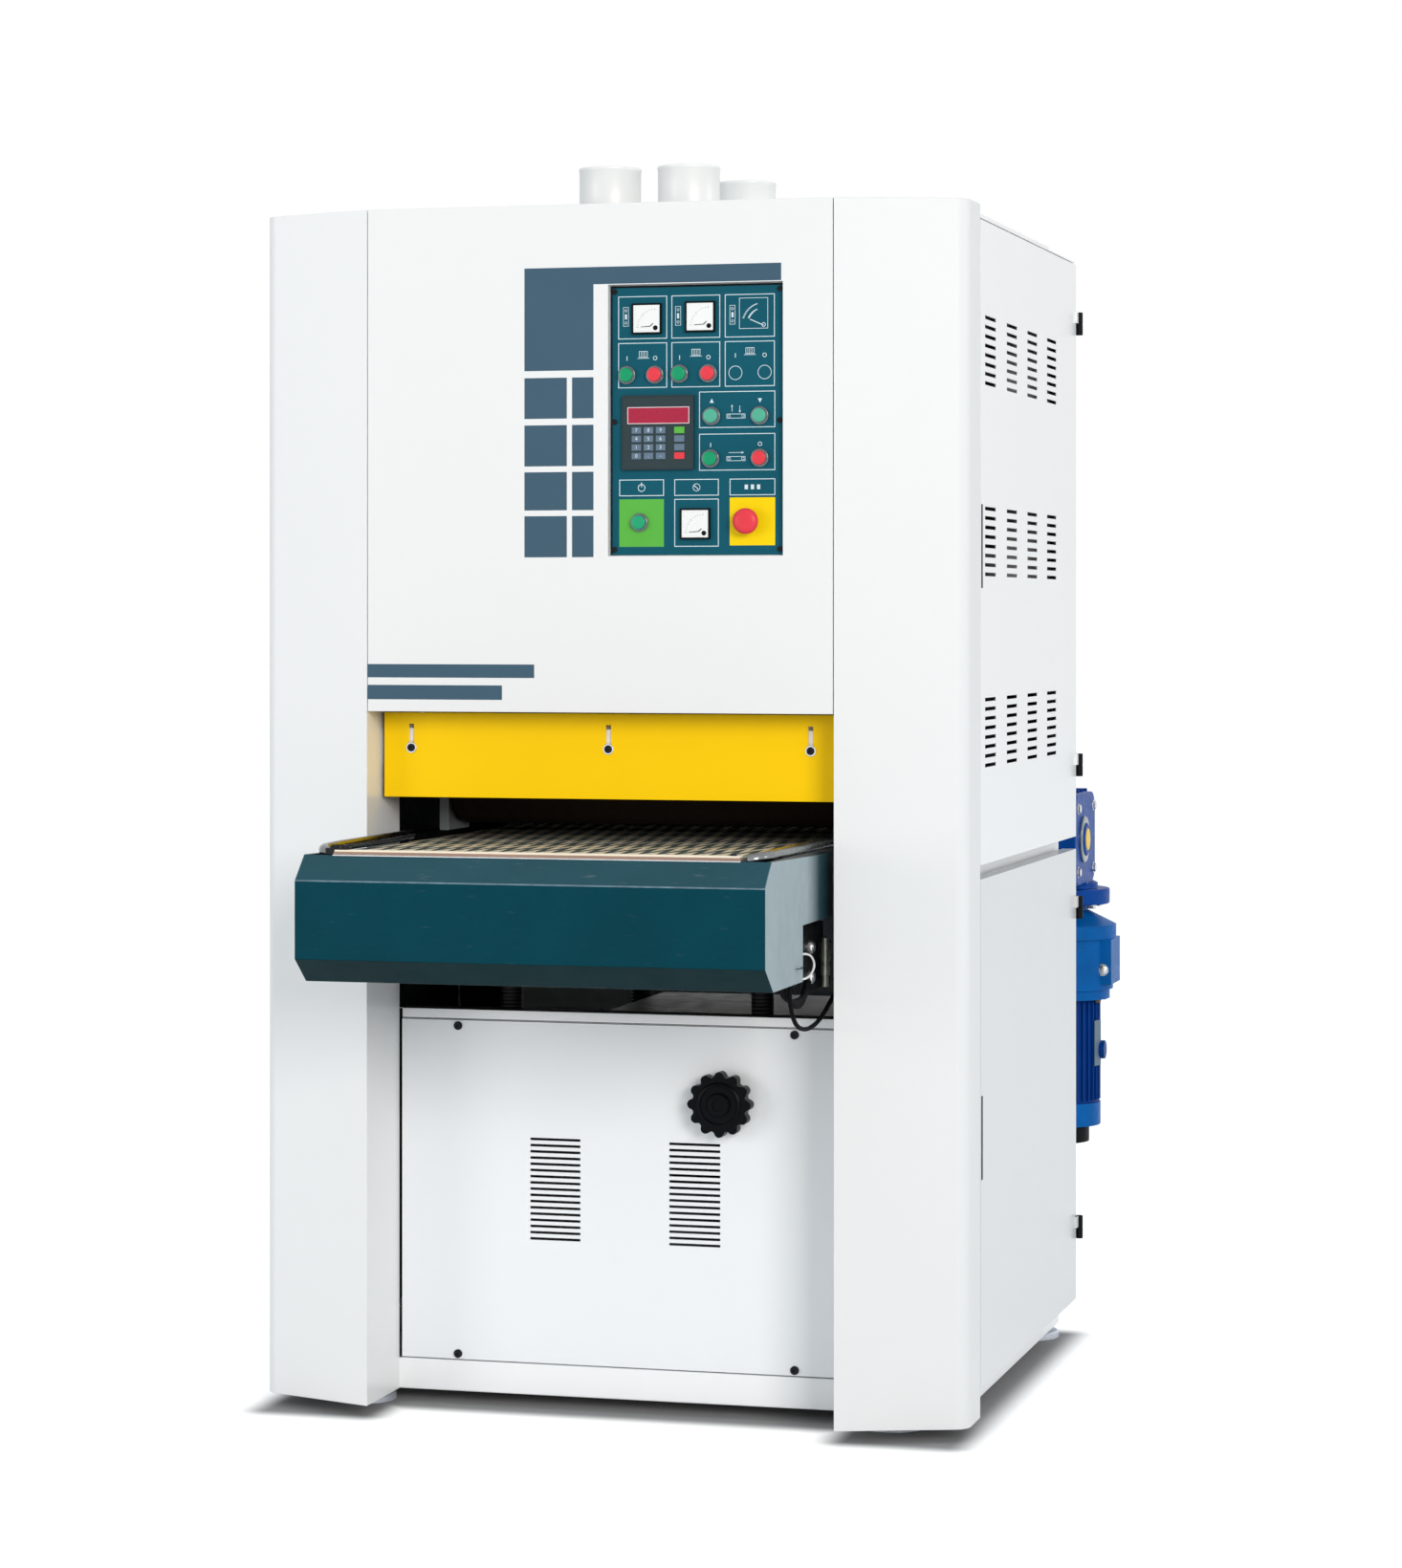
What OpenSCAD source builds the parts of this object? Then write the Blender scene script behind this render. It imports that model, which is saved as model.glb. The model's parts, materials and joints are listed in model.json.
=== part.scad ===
// Wide belt sander with two sanding heads over a feed table that lifts on four screw jacks.
// Millimetres, +Z up, front towards -Y, origin on the floor under the middle of the machine.
// Inside the modules y is measured from the front cover, and in_frame() sets it to the origin.

/* [Cabinet] */
// Height of the pillars and the upper cover above the floor
cabinet_h = 1917; // [1860:1:2000]
// Width across the outer faces of the side doors
cabinet_w = 1154; // [1140:1:1200]
// Depth from the upper cover's face to the rear panels
cabinet_d = 1034; // [1000:1:1100]
// Width of the throat between the two pillars
throat_w = 760; // [752:1:790]
// How far a pillar's slanted face leans back at its outer edge
pillar_lean = 68; // [40:1:110]
// Depth of a pillar's inner wall
pillar_d = 156; // [140:1:170]
// Radius of a pillar's outer front corner
pillar_corner_r = 30; // [10:1:40]
// Thickness of the cover sheets
sheet_t = 2.5; // [1.5:0.5:4]
// How far the roof lies below the pillars' top
roof_drop = 20; // [14:1:40]
// Height of the lid that is raised on the roof
lid_h = 11.5; // [6:0.5:18]

/* [Frame] */
// Height of the frame above the floor
foot_h = 20; // [15:1:40]
// Radius of a levelling foot's pad
pad_r = 52; // [40:1:65]
// Height of the base rails
base_rail_h = 50; // [40:1:80]
// Width of a column across the machine
column_w = 90; // [60:1:95]
// Depth of a column along the machine
column_d = 80; // [60:1:100]
// Height of the top, head and throat rails
rail_h = 60; // [40:1:80]
// Height of the rails that carry the jacks
jack_rail_h = 45; // [30:1:60]

/* [Front panels] */
// Height of the upper cover's lower edge above the conveyor belt
cover_up = 208; // [191:1:266]
// Gap between the sill and the table's side plates above it
sill_gap = 102; // [90:1:150]
// Height of the sill above the lower panel
sill_h = 16; // [10:1:30]
// Lower edge of the yellow guard above the conveyor belt
guard_up = 70; // [56:1:96]
// Centre of the control window across the machine
plate_x = 159; // [140:1:180]
// Share of the upper cover's spare height that lies below the control plate
plate_below_share = 0.656; // [0.45:0.001:0.82]
// Width of the control plate
plate_w = 278; // [260:1:300]
// Height of the control plate
plate_h = 420; // [400:1:440]
// Depth of the control plate behind the cover's face
plate_recess = 12; // [8:1:20]
// Width of a vent slot in the lower panel
panel_slot_w = 84; // [60:1:100]
// Height of a vent slot in the lower panel
panel_slot_h = 4; // [3:0.5:6]
// Number of vent slots in each group of the lower panel
panel_slots = 17; // [8:1:20]

/* [Feed table] */
// Height of the conveyor belt's top above the floor
feed_h = 914; // [905:1:920]
// Distance from the upper cover's face forward to the infeed roller's axis
infeed_reach = 290; // [270:1:300]
// Distance between the axes of the two conveyor rollers
roller_span = 1606; // [1560:1:1700]
// Radius of the conveyor rollers
roller_r = 48; // [44:1:52]
// Width of the conveyor belt
feed_belt_w = 640; // [600:1:644]
// Thickness of the conveyor belt
feed_belt_t = 3.7; // [3:0.1:5]
// Height of the table's side plates
side_plate_h = 165; // [150:1:175]
// Radius of the infeed roller's shaft
infeed_shaft_r = 12; // [10:1:16]
// Radius of the drive roller's shaft
drive_shaft_r = 15; // [12:1:18]

/* [Table lift] */
// Distance of the line shafts from the middle of the machine
shaft_x = 166; // [150:1:180]
// Distance from the sill down to the line shafts
shaft_drop = 121; // [102:1:142]
// Radius of the line shafts
shaft_r = 10; // [8:1:12]
// Radius of the jack screws
screw_r = 18; // [14:1:22]
// Radius of the hand knob to the middle of its lobes
knob_r = 44; // [36:1:50]
// Number of lobes on the hand knob
knob_lobes = 12; // [8:1:16]

/* [Sanding heads] */
// Work thickness that the table is set to
work_t = 16; // [12:1:30]
// Radius of the contact drums
drum_r = 88; // [80:1:92]
// Radius of the tension rollers
tension_r = 50; // [40:1:56]
// Distance from the roof down to the tension rollers' axes
tension_drop = 148; // [142:1:177]
// Width of the sanding belts
sand_belt_w = 650; // [600:1:660]
// Front drum's axis behind the upper cover's face
front_head_y = 340; // [335:1:345]
// Rear drum's axis behind the upper cover's face
rear_head_y = 700; // [690:1:710]
// Radius of the pulleys on the drums
drum_pulley_r = 60; // [45:1:66]
// Radius of the pulleys on the main motors
motor_pulley_r = 75; // [60:1:80]
// Radius of the main motors
motor_r = 100; // [80:1:105]

/* [Feed drive] */
// Width of the worm gearbox
gear_w = 112; // [90:1:112]
// Distance between the gearbox's output axis and its worm axis
worm_offset = 75; // [60:1:90]
// Radius of the variator's body
variator_r = 98; // [80:1:102]
// Radius of the feed motor
feed_motor_r = 70; // [60:1:80]

/* [Side doors] */
// Depth of a door's folded edge
door_t = 25; // [15:1:30]
// Lower edge of the doors above the floor
door_z = 65; // [50:1:80]
// Height of the lower right door
lower_door_h = 796; // [780:1:800]
// Gap between the lower and the upper right door
door_split = 22; // [12:1:40]
// Length of a door's vent slot
door_slot_l = 93; // [70:1:110]
// Height of a door's vent slot
door_slot_h = 5.5; // [4:0.5:8]
// Pitch of the vent slots
door_slot_pitch = 14.8; // [12:0.1:18]

/* [Dust outlets] */
// Outer radius of the dust outlets
outlet_r = 50; // [40:1:60]
// Height of the dust outlets above the lid
outlet_h = 86; // [60:1:120]

/* [Hidden] */
$fn = 64;

// Clearances that all pieces share
overrun = 1;
run_air = 0.05;
belt_air = 0.3;
fit_air = 0.4;
seam = 2;

// Heights that the pieces share, from the conveyor belt down to the line shafts
base_top = foot_h + base_rail_h;
side_drop = 9;
side_z1 = feed_h - side_drop;
side_z0 = side_z1 - side_plate_h;
sill_top = side_z0 - sill_gap;
sill_z = sill_top - sill_h;
panel_h = sill_z - base_top - 2 * seam;
shaft_z = sill_z - shaft_drop;
cover_z = feed_h + cover_up;
guard_z = feed_h + guard_up;

// Frame
half_throat = throat_w / 2;
half_cab = cabinet_w / 2;
door_air = 7;
column_x1 = half_cab - door_t - door_air;
column_x0 = column_x1 - column_w;
column_set = 10;
front_y0 = pillar_d + column_set;
front_y1 = front_y0 + column_d;
rear_y0 = cabinet_d - column_d;
roof_z = cabinet_h - roof_drop;
mid_rail_h = 40;
mid_rail_w = 14;
mid_rail_z = door_z + lower_door_h + door_split / 2 - mid_rail_h / 2;
jack_below = 45;
jack_rail_z = shaft_z - jack_below;
throat_rail_d = 40;
throat_rail_up = 51;
throat_rail_z = guard_z + throat_rail_up;
guard_rail_y = 70;
sill_rail_h = 53;
sill_rail_d = 34;
toe_in = 20;
toe_x0 = half_throat + toe_in;
toe_w = 80;
toe_y0 = 60;
motor_rail_w = 60;
top_rail_d = 30;

// Levelling feet
foot_x = toe_x0 + toe_w / 2;
foot_front_y = 155;
foot_rear_y = cabinet_d - column_d / 2;
pad_h = 14;
neck_r = 16;

// Sanding heads
sand_belt_t = 1.7;
sand_grow = belt_air + sand_belt_t;
pass_z = feed_h + work_t;
drum_z = pass_z + drum_r + sand_grow;
tension_z = roof_z - tension_drop;
head_rail_share = 0.3155;
head_rail_top = drum_z + head_rail_share * (tension_z - drum_z);
rear_lean = 45;
rear_tension_y = rear_head_y + rear_lean;
drum_over = 5;
drum_end_x = sand_belt_w / 2 + drum_over;
drum_shaft_r = 20;
tension_shaft_r = 12;
hanger_air = 10;
hanger_x = drum_end_x + hanger_air;
hanger_t = 16;
hanger_reach = 55;
hanger_drop = 101;
beam_w = 90;
beam_h = 130;
beam_end = 45;
beam_top = head_rail_top + beam_h;
cylinder_r = 32;
rod_r = 25;
yoke_bar_h = 30;
yoke_air = 6;
yoke_bar_z = tension_z - tension_r - yoke_air - yoke_bar_h;
stroke_gap = 50;
cylinder_top = yoke_bar_z - stroke_gap;
rod_in_share = 0.8;
rod_z0 = cylinder_top - rod_in_share * (cylinder_top - beam_top);
yoke_half_d = 28;
yoke_arm_t = 12;
yoke_arm_over = 26;
pulley_air = 39;
pulley_x = hanger_x + hanger_t + pulley_air;
pulley_w = 35;
drive_belt_t = 8;
drive_belt_in = 2;

// Sanding pad of the rear head
nose_r = 22;
nose_back = 62;
nose_y = rear_head_y + drum_r + nose_back;
pad_air = 7;
pad_front_y = rear_head_y + drum_r + pad_air;
pad_block_h = 70;
pad_top_z = pass_z + pad_block_h;
pad_web_t = 15;
pad_web_in = 5;
pad_web_y = pad_front_y + pad_web_in;
pad_flange_h = 50;
pad_in = 5;
pad_belt_air = 8;

// Pressure shoes
shoe_d = 55;
shoe_h = 30;
shoe_lift = 3;
shoe_arm_h = 77;
front_shoe_gap = 45;
front_shoe_y = front_head_y + hanger_reach + front_shoe_gap;
rear_hanger_y1 = rear_tension_y + beam_w / 2;
rear_shoe_gap = 18;
rear_shoe_y = nose_y + nose_r + rear_shoe_gap;

// Main motors
motor_x0 = -60;
motor_x1 = hanger_x;
motor_axis_h = 150;
motor_axis_z = base_top + motor_axis_h;
motor_foot_w = 50;
motor_foot_h = 70;
motor_foot_share = 0.9;
motor_box_w = 80;
motor_box_h = 8;
motor_shaft_r = 19;
motor_shaft_in = 55;
motor_rail_x = [60, 240];

// Feed table
roller_z = feed_h - feed_belt_t - belt_air - roller_r;
infeed_y = -infeed_reach;
drive_y = infeed_y + roller_span;
side_plate_t = 10;
side_air = 6;
bed_x0 = feed_belt_w / 2 + side_air;
bed_x1 = bed_x0 + side_plate_t;
side_over = 30;
side_rear_over = 40;
bed_t = 11;
bed_gap = 6;
tube_h = 50;
tube_w = 60;
tube_shares = [0.12, 0.5, 0.88];
tube_drop = 25;
cross_h = 50;
cross_w = 80;
roller_end = 4;
take_up_slot = 20;
standoff_r = 58;
standoff_bore_r = 22;
boss_r = 35;
boss_t = 14;

// Roller guard, with its outline from the top edge round the front to the bottom edge
guard_half_w = 364;
guard_reach = 72;
guard_bevel_d = 40;
guard_bevel_h = 37;
guard_face_h = 118;
guard_low_d = 48;
guard_low_h = 37;
guard_lip = 44;
guard_step_back = 158;
guard_step_h = 85;
guard_back = 350;
guard_back_drop = 8;
guard_face_y = infeed_y - guard_reach;
guard_top_y = guard_face_y + guard_bevel_d;
guard_low_y = guard_face_y + guard_low_d;
guard_lip_y = guard_low_y + guard_lip;
guard_bevel_z1 = feed_h - guard_bevel_h;
guard_bevel_z0 = guard_bevel_z1 - guard_face_h;
guard_bottom_z = guard_bevel_z0 - guard_low_h;
guard_step_y = infeed_y + guard_step_back;
guard_step_z = guard_bottom_z + guard_step_h;
guard_back_y = infeed_y + guard_back;
guard_back_z = feed_h - guard_back_drop;

// Take-up blocks
block_half = 32;
block_screw_r = 6;
block_screw_length = 90;
lug_t = 18;

// Stop switch on the right side of the table
switch_t = 6;
switch_back = 232;
switch_l = 148;
switch_drop = 44;
switch_h = 102;
switch_y0 = infeed_y + switch_back;
switch_y1 = switch_y0 + switch_l;
switch_z0 = side_z0 - switch_drop;
switch_z1 = switch_z0 + switch_h;
switch_bolt_r = 9;
switch_bolt_h = 8;
switch_bolt_in = 53;
switch_bolt_up = 22;
switch_bolt_pitch = 46;
switch_bolt_y = switch_y0 + switch_bolt_in;
switch_bolt_z = switch_z0 + switch_bolt_up;
plunger_r = 7;
plunger_in = 122;
plunger_up = 12;
plunger_h = 62;
plunger_y = switch_y0 + plunger_in;
plunger_z0 = switch_z0 + plunger_up;
plunger_z1 = plunger_z0 + plunger_h;
plunger_gap = 4;

// Cable from the table's gland to the sill's gland, in points chosen by hand
cable_r = 3.5;
cable_sides = 10;
gland_r = 9;
gland_h = 22;
cable_route = [
    [350, -160, 723], [350, -160, 712], [350, -159, 700], [351, -154, 682], [352, -143, 667],
    [353, -125, 655], [354, -100, 648], [355, -70, 645], [356, -38, 646], [357, -5, 651],
    [358, 28, 660], [359, 60, 672], [360, 90, 684], [360, 118, 694], [360, 142, 699],
    [360, 163, 697], [360, 178, 688], [360, 186, 675], [360, 188, 666], [360, 188, 660]
];

// Table lift
jack_above = 45;
screw_offset = 45;
screw_x = shaft_x + screw_offset;
jack_wall_in = 30;
jack_wall_out = 40;
jack_x0 = shaft_x - jack_wall_in;
jack_x1 = screw_x + jack_wall_out;
jack_half_d = 45;
jack_front_in = 10;
jack_rear_in = 6;
front_jack_y = front_y0 + jack_half_d + jack_front_in;
rear_jack_y = cabinet_d - jack_half_d - jack_rear_in;
screw_below = 111;
shaft_rear_in = 5;
sprocket_r = 38;
sprocket_w = 8;
sprocket_y = (front_head_y + rear_head_y - sprocket_w) / 2;
chain_t = 8;
chain_over = 1;
lift_motor_r = 55;
lift_motor_l = 165;
panel_hole_air = 4;
panel_hole_r = shaft_r + panel_hole_air;
left_shaft_y0 = front_jack_y - jack_half_d + shaft_rear_in;

// Hand knob
knob_t = 26;
knob_front = 40;
lobe_r = 8;
hub_r = 18;
hub_gap = 4;
knob_cap_t = 6;

// Feed drive
gear_reach = 204;
gear_x1 = bed_x1 + gear_reach;
gear_x0 = gear_x1 - gear_w;
gear_x = (gear_x0 + gear_x1) / 2;
worm_y = drive_y + worm_offset;
gear_half_h = 84;
gear_front = 80;
gear_rear = 58;
gear_corner_r = 34;
gear_boss_r = 42;
gear_boss_t = 4;
gear_cap_r = 30;
gear_cap_t = 5;
shaft_end_in = 3;
gear_neck_r = 70;
gear_neck_h = 10;
gear_flange_r = 92;
gear_flange_h = 29;
gear_flange_z0 = roller_z - gear_half_h - gear_neck_h - gear_flange_h;
variator_neck_r = 52;
variator_neck_h = 12;
variator_cone_h = 26;
variator_rim_over = 6;
variator_rim_h = 25;
variator_body_h = 94;
variator_foot_h = 18;
variator_foot_in = 6;
variator_box_d = 100;
variator_box_over = 6;
variator_box_in = 11;
variator_rim_z0 = gear_flange_z0 - variator_neck_h - variator_cone_h - variator_rim_h;
variator_body_z0 = variator_rim_z0 - variator_body_h;
variator_z0 = variator_body_z0 - variator_foot_h;
feed_motor_h = 192;
fan_cover_over = 5;
fan_cover_r = feed_motor_r + fan_cover_over;
fan_cover_h = 43;
fan_cap_in = 16;
fan_cap_r = feed_motor_r - fan_cap_in;
fan_cap_h = 32;
motor_boss_r = 17;
motor_boss_out = 15;
feed_motor_z0 = variator_z0 - feed_motor_h;

// Cover, guard and control plate
cover_gap = 1.5;
cover_x = half_throat - cover_gap;
cover_lip = 30;
window_air = 1.5;
window_rim = 12;
plate_t = 3;
plate_front = plate_recess;
plate_x0 = plate_x - plate_w / 2;
plate_z = cover_z + plate_below_share * (cabinet_h - cover_z - plate_h) + plate_h / 2;
plate_z1 = plate_z + plate_h / 2;
guard_y = 65;
guard_top_gap = 3;
guard_side_air = 6;
guard_x = half_throat - guard_side_air;
guard_hem = 15;
guard_slot_w = 8;
guard_slot_h = 38;
guard_slot_up = 79;
guard_slot_in = 52;
guard_slot_z = guard_z + guard_slot_up;
guard_slot_x = half_throat - guard_slot_in;
guard_bolt_r = 6.5;
guard_bolt_h = 4.4;
guard_shank_r = 3.8;

// Lower panel
panel_side_air = 4;
panel_x = half_throat - panel_side_air;
panel_screw_x = 280;
panel_screw_in = 9;
panel_screw_r = 7;
panel_screw_h = 4;
panel_slot_x = 116;
panel_slot_pitch = 10;
panel_slot_up = 200;
panel_slot_z = base_top + panel_slot_up;

// Roof, lid and dust outlets, each outlet as its place on the roof
roof_in = 3;
lid_in = 17;
lid_front_in = 9;
lid_d = 681;
roof_x = half_cab - roof_in;
lid_x = half_cab - lid_in;
lid_y0 = front_y0 + lid_front_in;
lid_y1 = lid_y0 + lid_d;
outlet_t = 2;
outlet_flange_w = 8;
outlet_flange_r = outlet_r + outlet_flange_w;
outlet_flange_t = 2;
outlet_places = [[-48, 238], [84, 238], [111, 500]];
lid_top = roof_z + sheet_t + lid_h;

// Rear panels
rear_in = 12;
rear_low_over = 2;
rear_low_top = sill_top + rear_low_over;
rear_high_z = guard_z;
rear_x = half_cab - rear_in;

// Doors and hinges
door_rear_air = 4;
door_top_air = 3;
door_y0 = pillar_d + column_set;
door_y1 = cabinet_d - door_rear_air;
door_top = roof_z - door_top_air;
upper_door_z = door_z + lower_door_h + door_split;
slot_columns = 4;
slot_rows = 8;
slot_groups = 3;
slot_first_in = 82;
slot_first_y = door_y0 + slot_first_in;
slot_column_pitch = 181;
slot_first_up = 152;
slot_first_z = upper_door_z + slot_first_up;
slot_group_pitch = 301;
finger_slot_h = 131;
finger_slot_w = 12;
finger_slot_in = 5;
upper_finger_up = 434;
lower_finger_up = 325;
upper_finger_z = upper_door_z + upper_finger_up;
lower_finger_z = door_z + lower_finger_up;
hinge_out = 4;
hinge_x = half_cab + hinge_out;
hinge_y = cabinet_d + hinge_out;
knuckle_r = 6.5;
pin_r = 4;
knuckle_h = 20;
knuckle_air = 0.3;
leaf_t = 3.5;
leaf_l = 14;
hinge_in = 84;
hinge_low_in = 106;
hinge_down = hinge_in + 2 * knuckle_h;
upper_hinges = [upper_door_z + hinge_low_in, door_top - hinge_down];
lower_hinges = [door_z + hinge_low_in, door_z + lower_door_h - hinge_down];
left_hinges = [door_z + hinge_low_in, (door_z + door_top) / 2, door_top - hinge_down];

// Control panel, with places as shares of the plate's width and height from its upper left corner
button_places_shares = [
    [0.094, 0.331], [0.258, 0.331], [0.400, 0.329], [0.567, 0.329], [0.586, 0.487],
    [0.864, 0.487], [0.580, 0.644], [0.864, 0.643], [0.167, 0.879]
];
stop_place_shares = [0.796, 0.877];
meter_places_shares = [[0.212, 0.123], [0.522, 0.119], [0.493, 0.885]];
controller_place_shares = [0.278, 0.546];
screw_x_shares = [0.022, 0.978];
screw_z_shares = [0.021, 0.505, 0.979];
button_r = 11;
button_t = 6;
button_out = 11;
stem_r = 7;
stem_l = 25;
collar_r = 14.5;
collar_h = 7;
contact_r = 14;
contact_l = 40;
contact_bore_l = 35;
stop_r = 20;
stop_t = 14;
stop_out = 26;
stop_collar_r = 16;
stop_collar_h = 6;
meter_w = 48;
meter_front = 6;
meter_body_w = 43;
meter_body_l = 40;
controller_w = 116;
controller_front = 7;
controller_body_w = 106;
controller_body_l = 60;
plate_screw_r = 3.2;
plate_screw_h = 2;

// Place of the whole machine along y
machine_y0 = guard_face_y;
machine_y1 = worm_y + variator_r + variator_rim_over;
machine_y = (machine_y0 + machine_y1) / 2;

// Places a child measured from the front cover into the machine's own frame
module in_frame() {
    translate([0, -machine_y, 0]) children();
}

// A box between two corners
module block(x0, x1, y0, y1, z0, z1) {
    translate([x0, y0, z0]) cube([x1 - x0, y1 - y0, z1 - z0]);
}

// A child and its mirror image on the machine's other side
module both_sides() {
    children();
    mirror([1, 0, 0]) children();
}

// Round bars along x, y and z
module rod_x(r, x0, x1, y, z) {
    translate([x0, y, z]) rotate([0, 90, 0]) cylinder(r = r, h = x1 - x0);
}
module rod_y(r, y0, y1, x, z) {
    translate([x, y1, z]) rotate([90, 0, 0]) cylinder(r = r, h = y1 - y0);
}
module rod_z(r, z0, z1, x, y) {
    translate([x, y, z0]) cylinder(r = r, h = z1 - z0);
}

// An outline in y and z, drawn out along x
module along_x(x0, x1) {
    translate([x0, 0, 0]) rotate([90, 0, 90]) linear_extrude(height = x1 - x0) children();
}

// An outline in x and z, drawn out along y
module along_y(y0, y1) {
    translate([0, y1, 0]) rotate([90, 0, 0]) linear_extrude(height = y1 - y0) children();
}

// Unit direction from one point to another, and its right-hand normal
function way(a, b) = (b - a) / norm(b - a);
function right_of(d) = [d[1], -d[0]];

// Arc points round a centre
function arc(c, r, from, to, steps) = [
    for (i = [0:steps]) c + r * [cos(from + (to - from) * i / steps), sin(from + (to - from) * i / steps)]
];

// Outward normal of the straight run from circle a to circle b in a loop that turns left
function run_normal(a, b) =
    let (p = [a[0], a[1]], q = [b[0], b[1]], d = way(p, q), s = (a[2] - b[2]) / norm(q - p))
    s * d + sqrt(1 - s * s) * right_of(d);
function angle_of(v) = atan2(v[1], v[0]);
function after(from, to) = to < from ? to + 360 : to;

// Outline of a belt round circles [u, v, radius], grown outwards
arc_steps = 40;
function loop_points(circles, grow) = [
    for (i = [0:len(circles) - 1])
        let (
            n = len(circles),
            c = circles[i],
            a = angle_of(run_normal(circles[(i + n - 1) % n], c)),
            b = angle_of(run_normal(c, circles[(i + 1) % n]))
        )
        each arc([c[0], c[1]], c[2] + grow, a, after(a, b), arc_steps)
];
module loop_outline(circles, inside, thick) {
    difference() {
        polygon(loop_points(circles, inside + thick));
        polygon(loop_points(circles, inside));
    }
}

// Corner of an outline set in by t, between the edges a to b and b to c
function mitre(a, b, c, t) =
    let (
        d1 = way(a, b),
        d2 = way(b, c),
        n1 = -right_of(d1),
        n2 = -right_of(d2)
    )
    b + t * (n1 + n2) / (1 + n1 * n2);

// Rounded corner points at b, between the edges a to b and b to c
corner_steps = 10;
function round_corner(a, b, c, r) =
    let (
        d1 = way(b, a),
        d2 = way(b, c),
        half = acos(d1 * d2) / 2,
        centre = b + way([0, 0], d1 + d2) * r / sin(half),
        p = b + d1 * r / tan(half) - centre,
        q = b + d2 * r / tan(half) - centre,
        turn = angle_of(q) - angle_of(p),
        swing = turn > 180 ? turn - 360 : turn < -180 ? turn + 360 : turn
    )
    arc(centre, r, angle_of(p), angle_of(p) + swing, corner_steps);

// A rectangle with rounded corners
function round_box(u0, u1, v0, v1, r) = concat(
    round_corner([u0, v1], [u0, v0], [u1, v0], r),
    round_corner([u0, v0], [u1, v0], [u1, v1], r),
    round_corner([u1, v0], [u1, v1], [u0, v1], r),
    round_corner([u1, v1], [u0, v1], [u0, v0], r)
);

// Places on the control plate, from shares of its width and height
function plate_place(shares) = [plate_x0 + shares[0] * plate_w, plate_z1 - shares[1] * plate_h];

// Circles that each belt runs round
front_belt_circles = [
    [front_head_y, drum_z, drum_r],
    [front_head_y, tension_z, tension_r]
];
rear_belt_circles = [
    [rear_head_y, drum_z, drum_r],
    [nose_y, pass_z + sand_grow + nose_r, nose_r],
    [rear_tension_y, tension_z, tension_r]
];
conveyor_circles = [
    [infeed_y, roller_z, roller_r],
    [drive_y, roller_z, roller_r]
];
chain_circles = [
    [-shaft_x, shaft_z, sprocket_r],
    [shaft_x, shaft_z, sprocket_r]
];
function drive_circles(y) = [
    [y, motor_axis_z, motor_pulley_r],
    [y, drum_z, drum_pulley_r]
];

// A rail that carries two jacks, bored for their screws
module jack_rail(y0, y1, jack_y) {
    z0 = jack_rail_z - jack_rail_h;
    difference() {
        block(-column_x0, column_x0, y0, y1, z0, jack_rail_z);
        both_sides() rod_z(screw_r + seam, z0 - overrun, jack_rail_z + overrun, screw_x, jack_y);
    }
}

module main_frame() {
    color("gainsboro") in_frame() {
        both_sides() {
            block(column_x0, column_x1, front_y0, front_y1, foot_h, roof_z);
            block(column_x0, column_x1, rear_y0, cabinet_d, foot_h, roof_z);
            block(column_x0, column_x1, front_y1, rear_y0, foot_h, base_top);
            block(column_x0, column_x1, front_y1, rear_y0, roof_z - rail_h, roof_z);
            block(column_x0, column_x1, front_y1, rear_y0, head_rail_top - rail_h, head_rail_top);
            block(column_x1 - mid_rail_w, column_x1, front_y1, rear_y0, mid_rail_z,
                mid_rail_z + mid_rail_h);
            block(toe_x0, toe_x0 + toe_w, toe_y0, pillar_d, foot_h, base_top);
            block(guard_x - throat_rail_d, guard_x, guard_rail_y, front_y0, throat_rail_z,
                throat_rail_z + rail_h);
        }
        block(-column_x1, column_x1, pillar_d, front_y1, foot_h, base_top);
        block(-column_x1, column_x1, rear_y0, cabinet_d, foot_h, base_top);
        block(-column_x1, column_x1, pillar_d, pillar_d + top_rail_d, roof_z - rail_h, roof_z);
        block(-column_x1, column_x1, rear_y0, cabinet_d, roof_z - rail_h, roof_z);
        jack_rail(front_y0, front_y1, front_jack_y);
        jack_rail(rear_y0, cabinet_d, rear_jack_y);
        block(-column_x0, column_x0, front_y0, front_y0 + sill_rail_d,
            sill_top - sill_rail_h, sill_top);
        block(-panel_x, panel_x, pillar_d, front_y0, sill_z, sill_top);
        block(-column_x0, column_x0, front_y0, front_y0 + throat_rail_d, throat_rail_z,
            throat_rail_z + rail_h);
        block(-guard_x, guard_x, guard_rail_y, guard_rail_y + throat_rail_d, throat_rail_z,
            throat_rail_z + rail_h);
        for (x = motor_rail_x)
            block(x - motor_rail_w / 2, x + motor_rail_w / 2, front_y1, rear_y0, foot_h, base_top);
        rod_z(gland_r, sill_top, cable_route[len(cable_route) - 1][2],
            cable_route[len(cable_route) - 1][0],
            cable_route[len(cable_route) - 1][1]);
    }
}

// Plan of the right pillar's casing, set in by t
function pillar_plan(t) =
    let (
        back = [half_throat, pillar_d],
        toe = [half_throat, 0],
        edge = [half_cab, pillar_lean],
        side = [half_cab, pillar_d + column_set - seam * 2],
        inner_toe = mitre(back, toe, edge, t),
        inner_edge = mitre(toe, edge, side, t)
    )
    concat(
        [[half_throat + t, pillar_d + (t > 0 ? overrun : 0)], inner_toe],
        round_corner(inner_toe, inner_edge, side - [t, 0], pillar_corner_r - t),
        [side + [-t, t > 0 ? column_set : 0]],
        t > 0 ? [] : [[half_throat + sheet_t, pillar_d]]
    );

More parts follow.
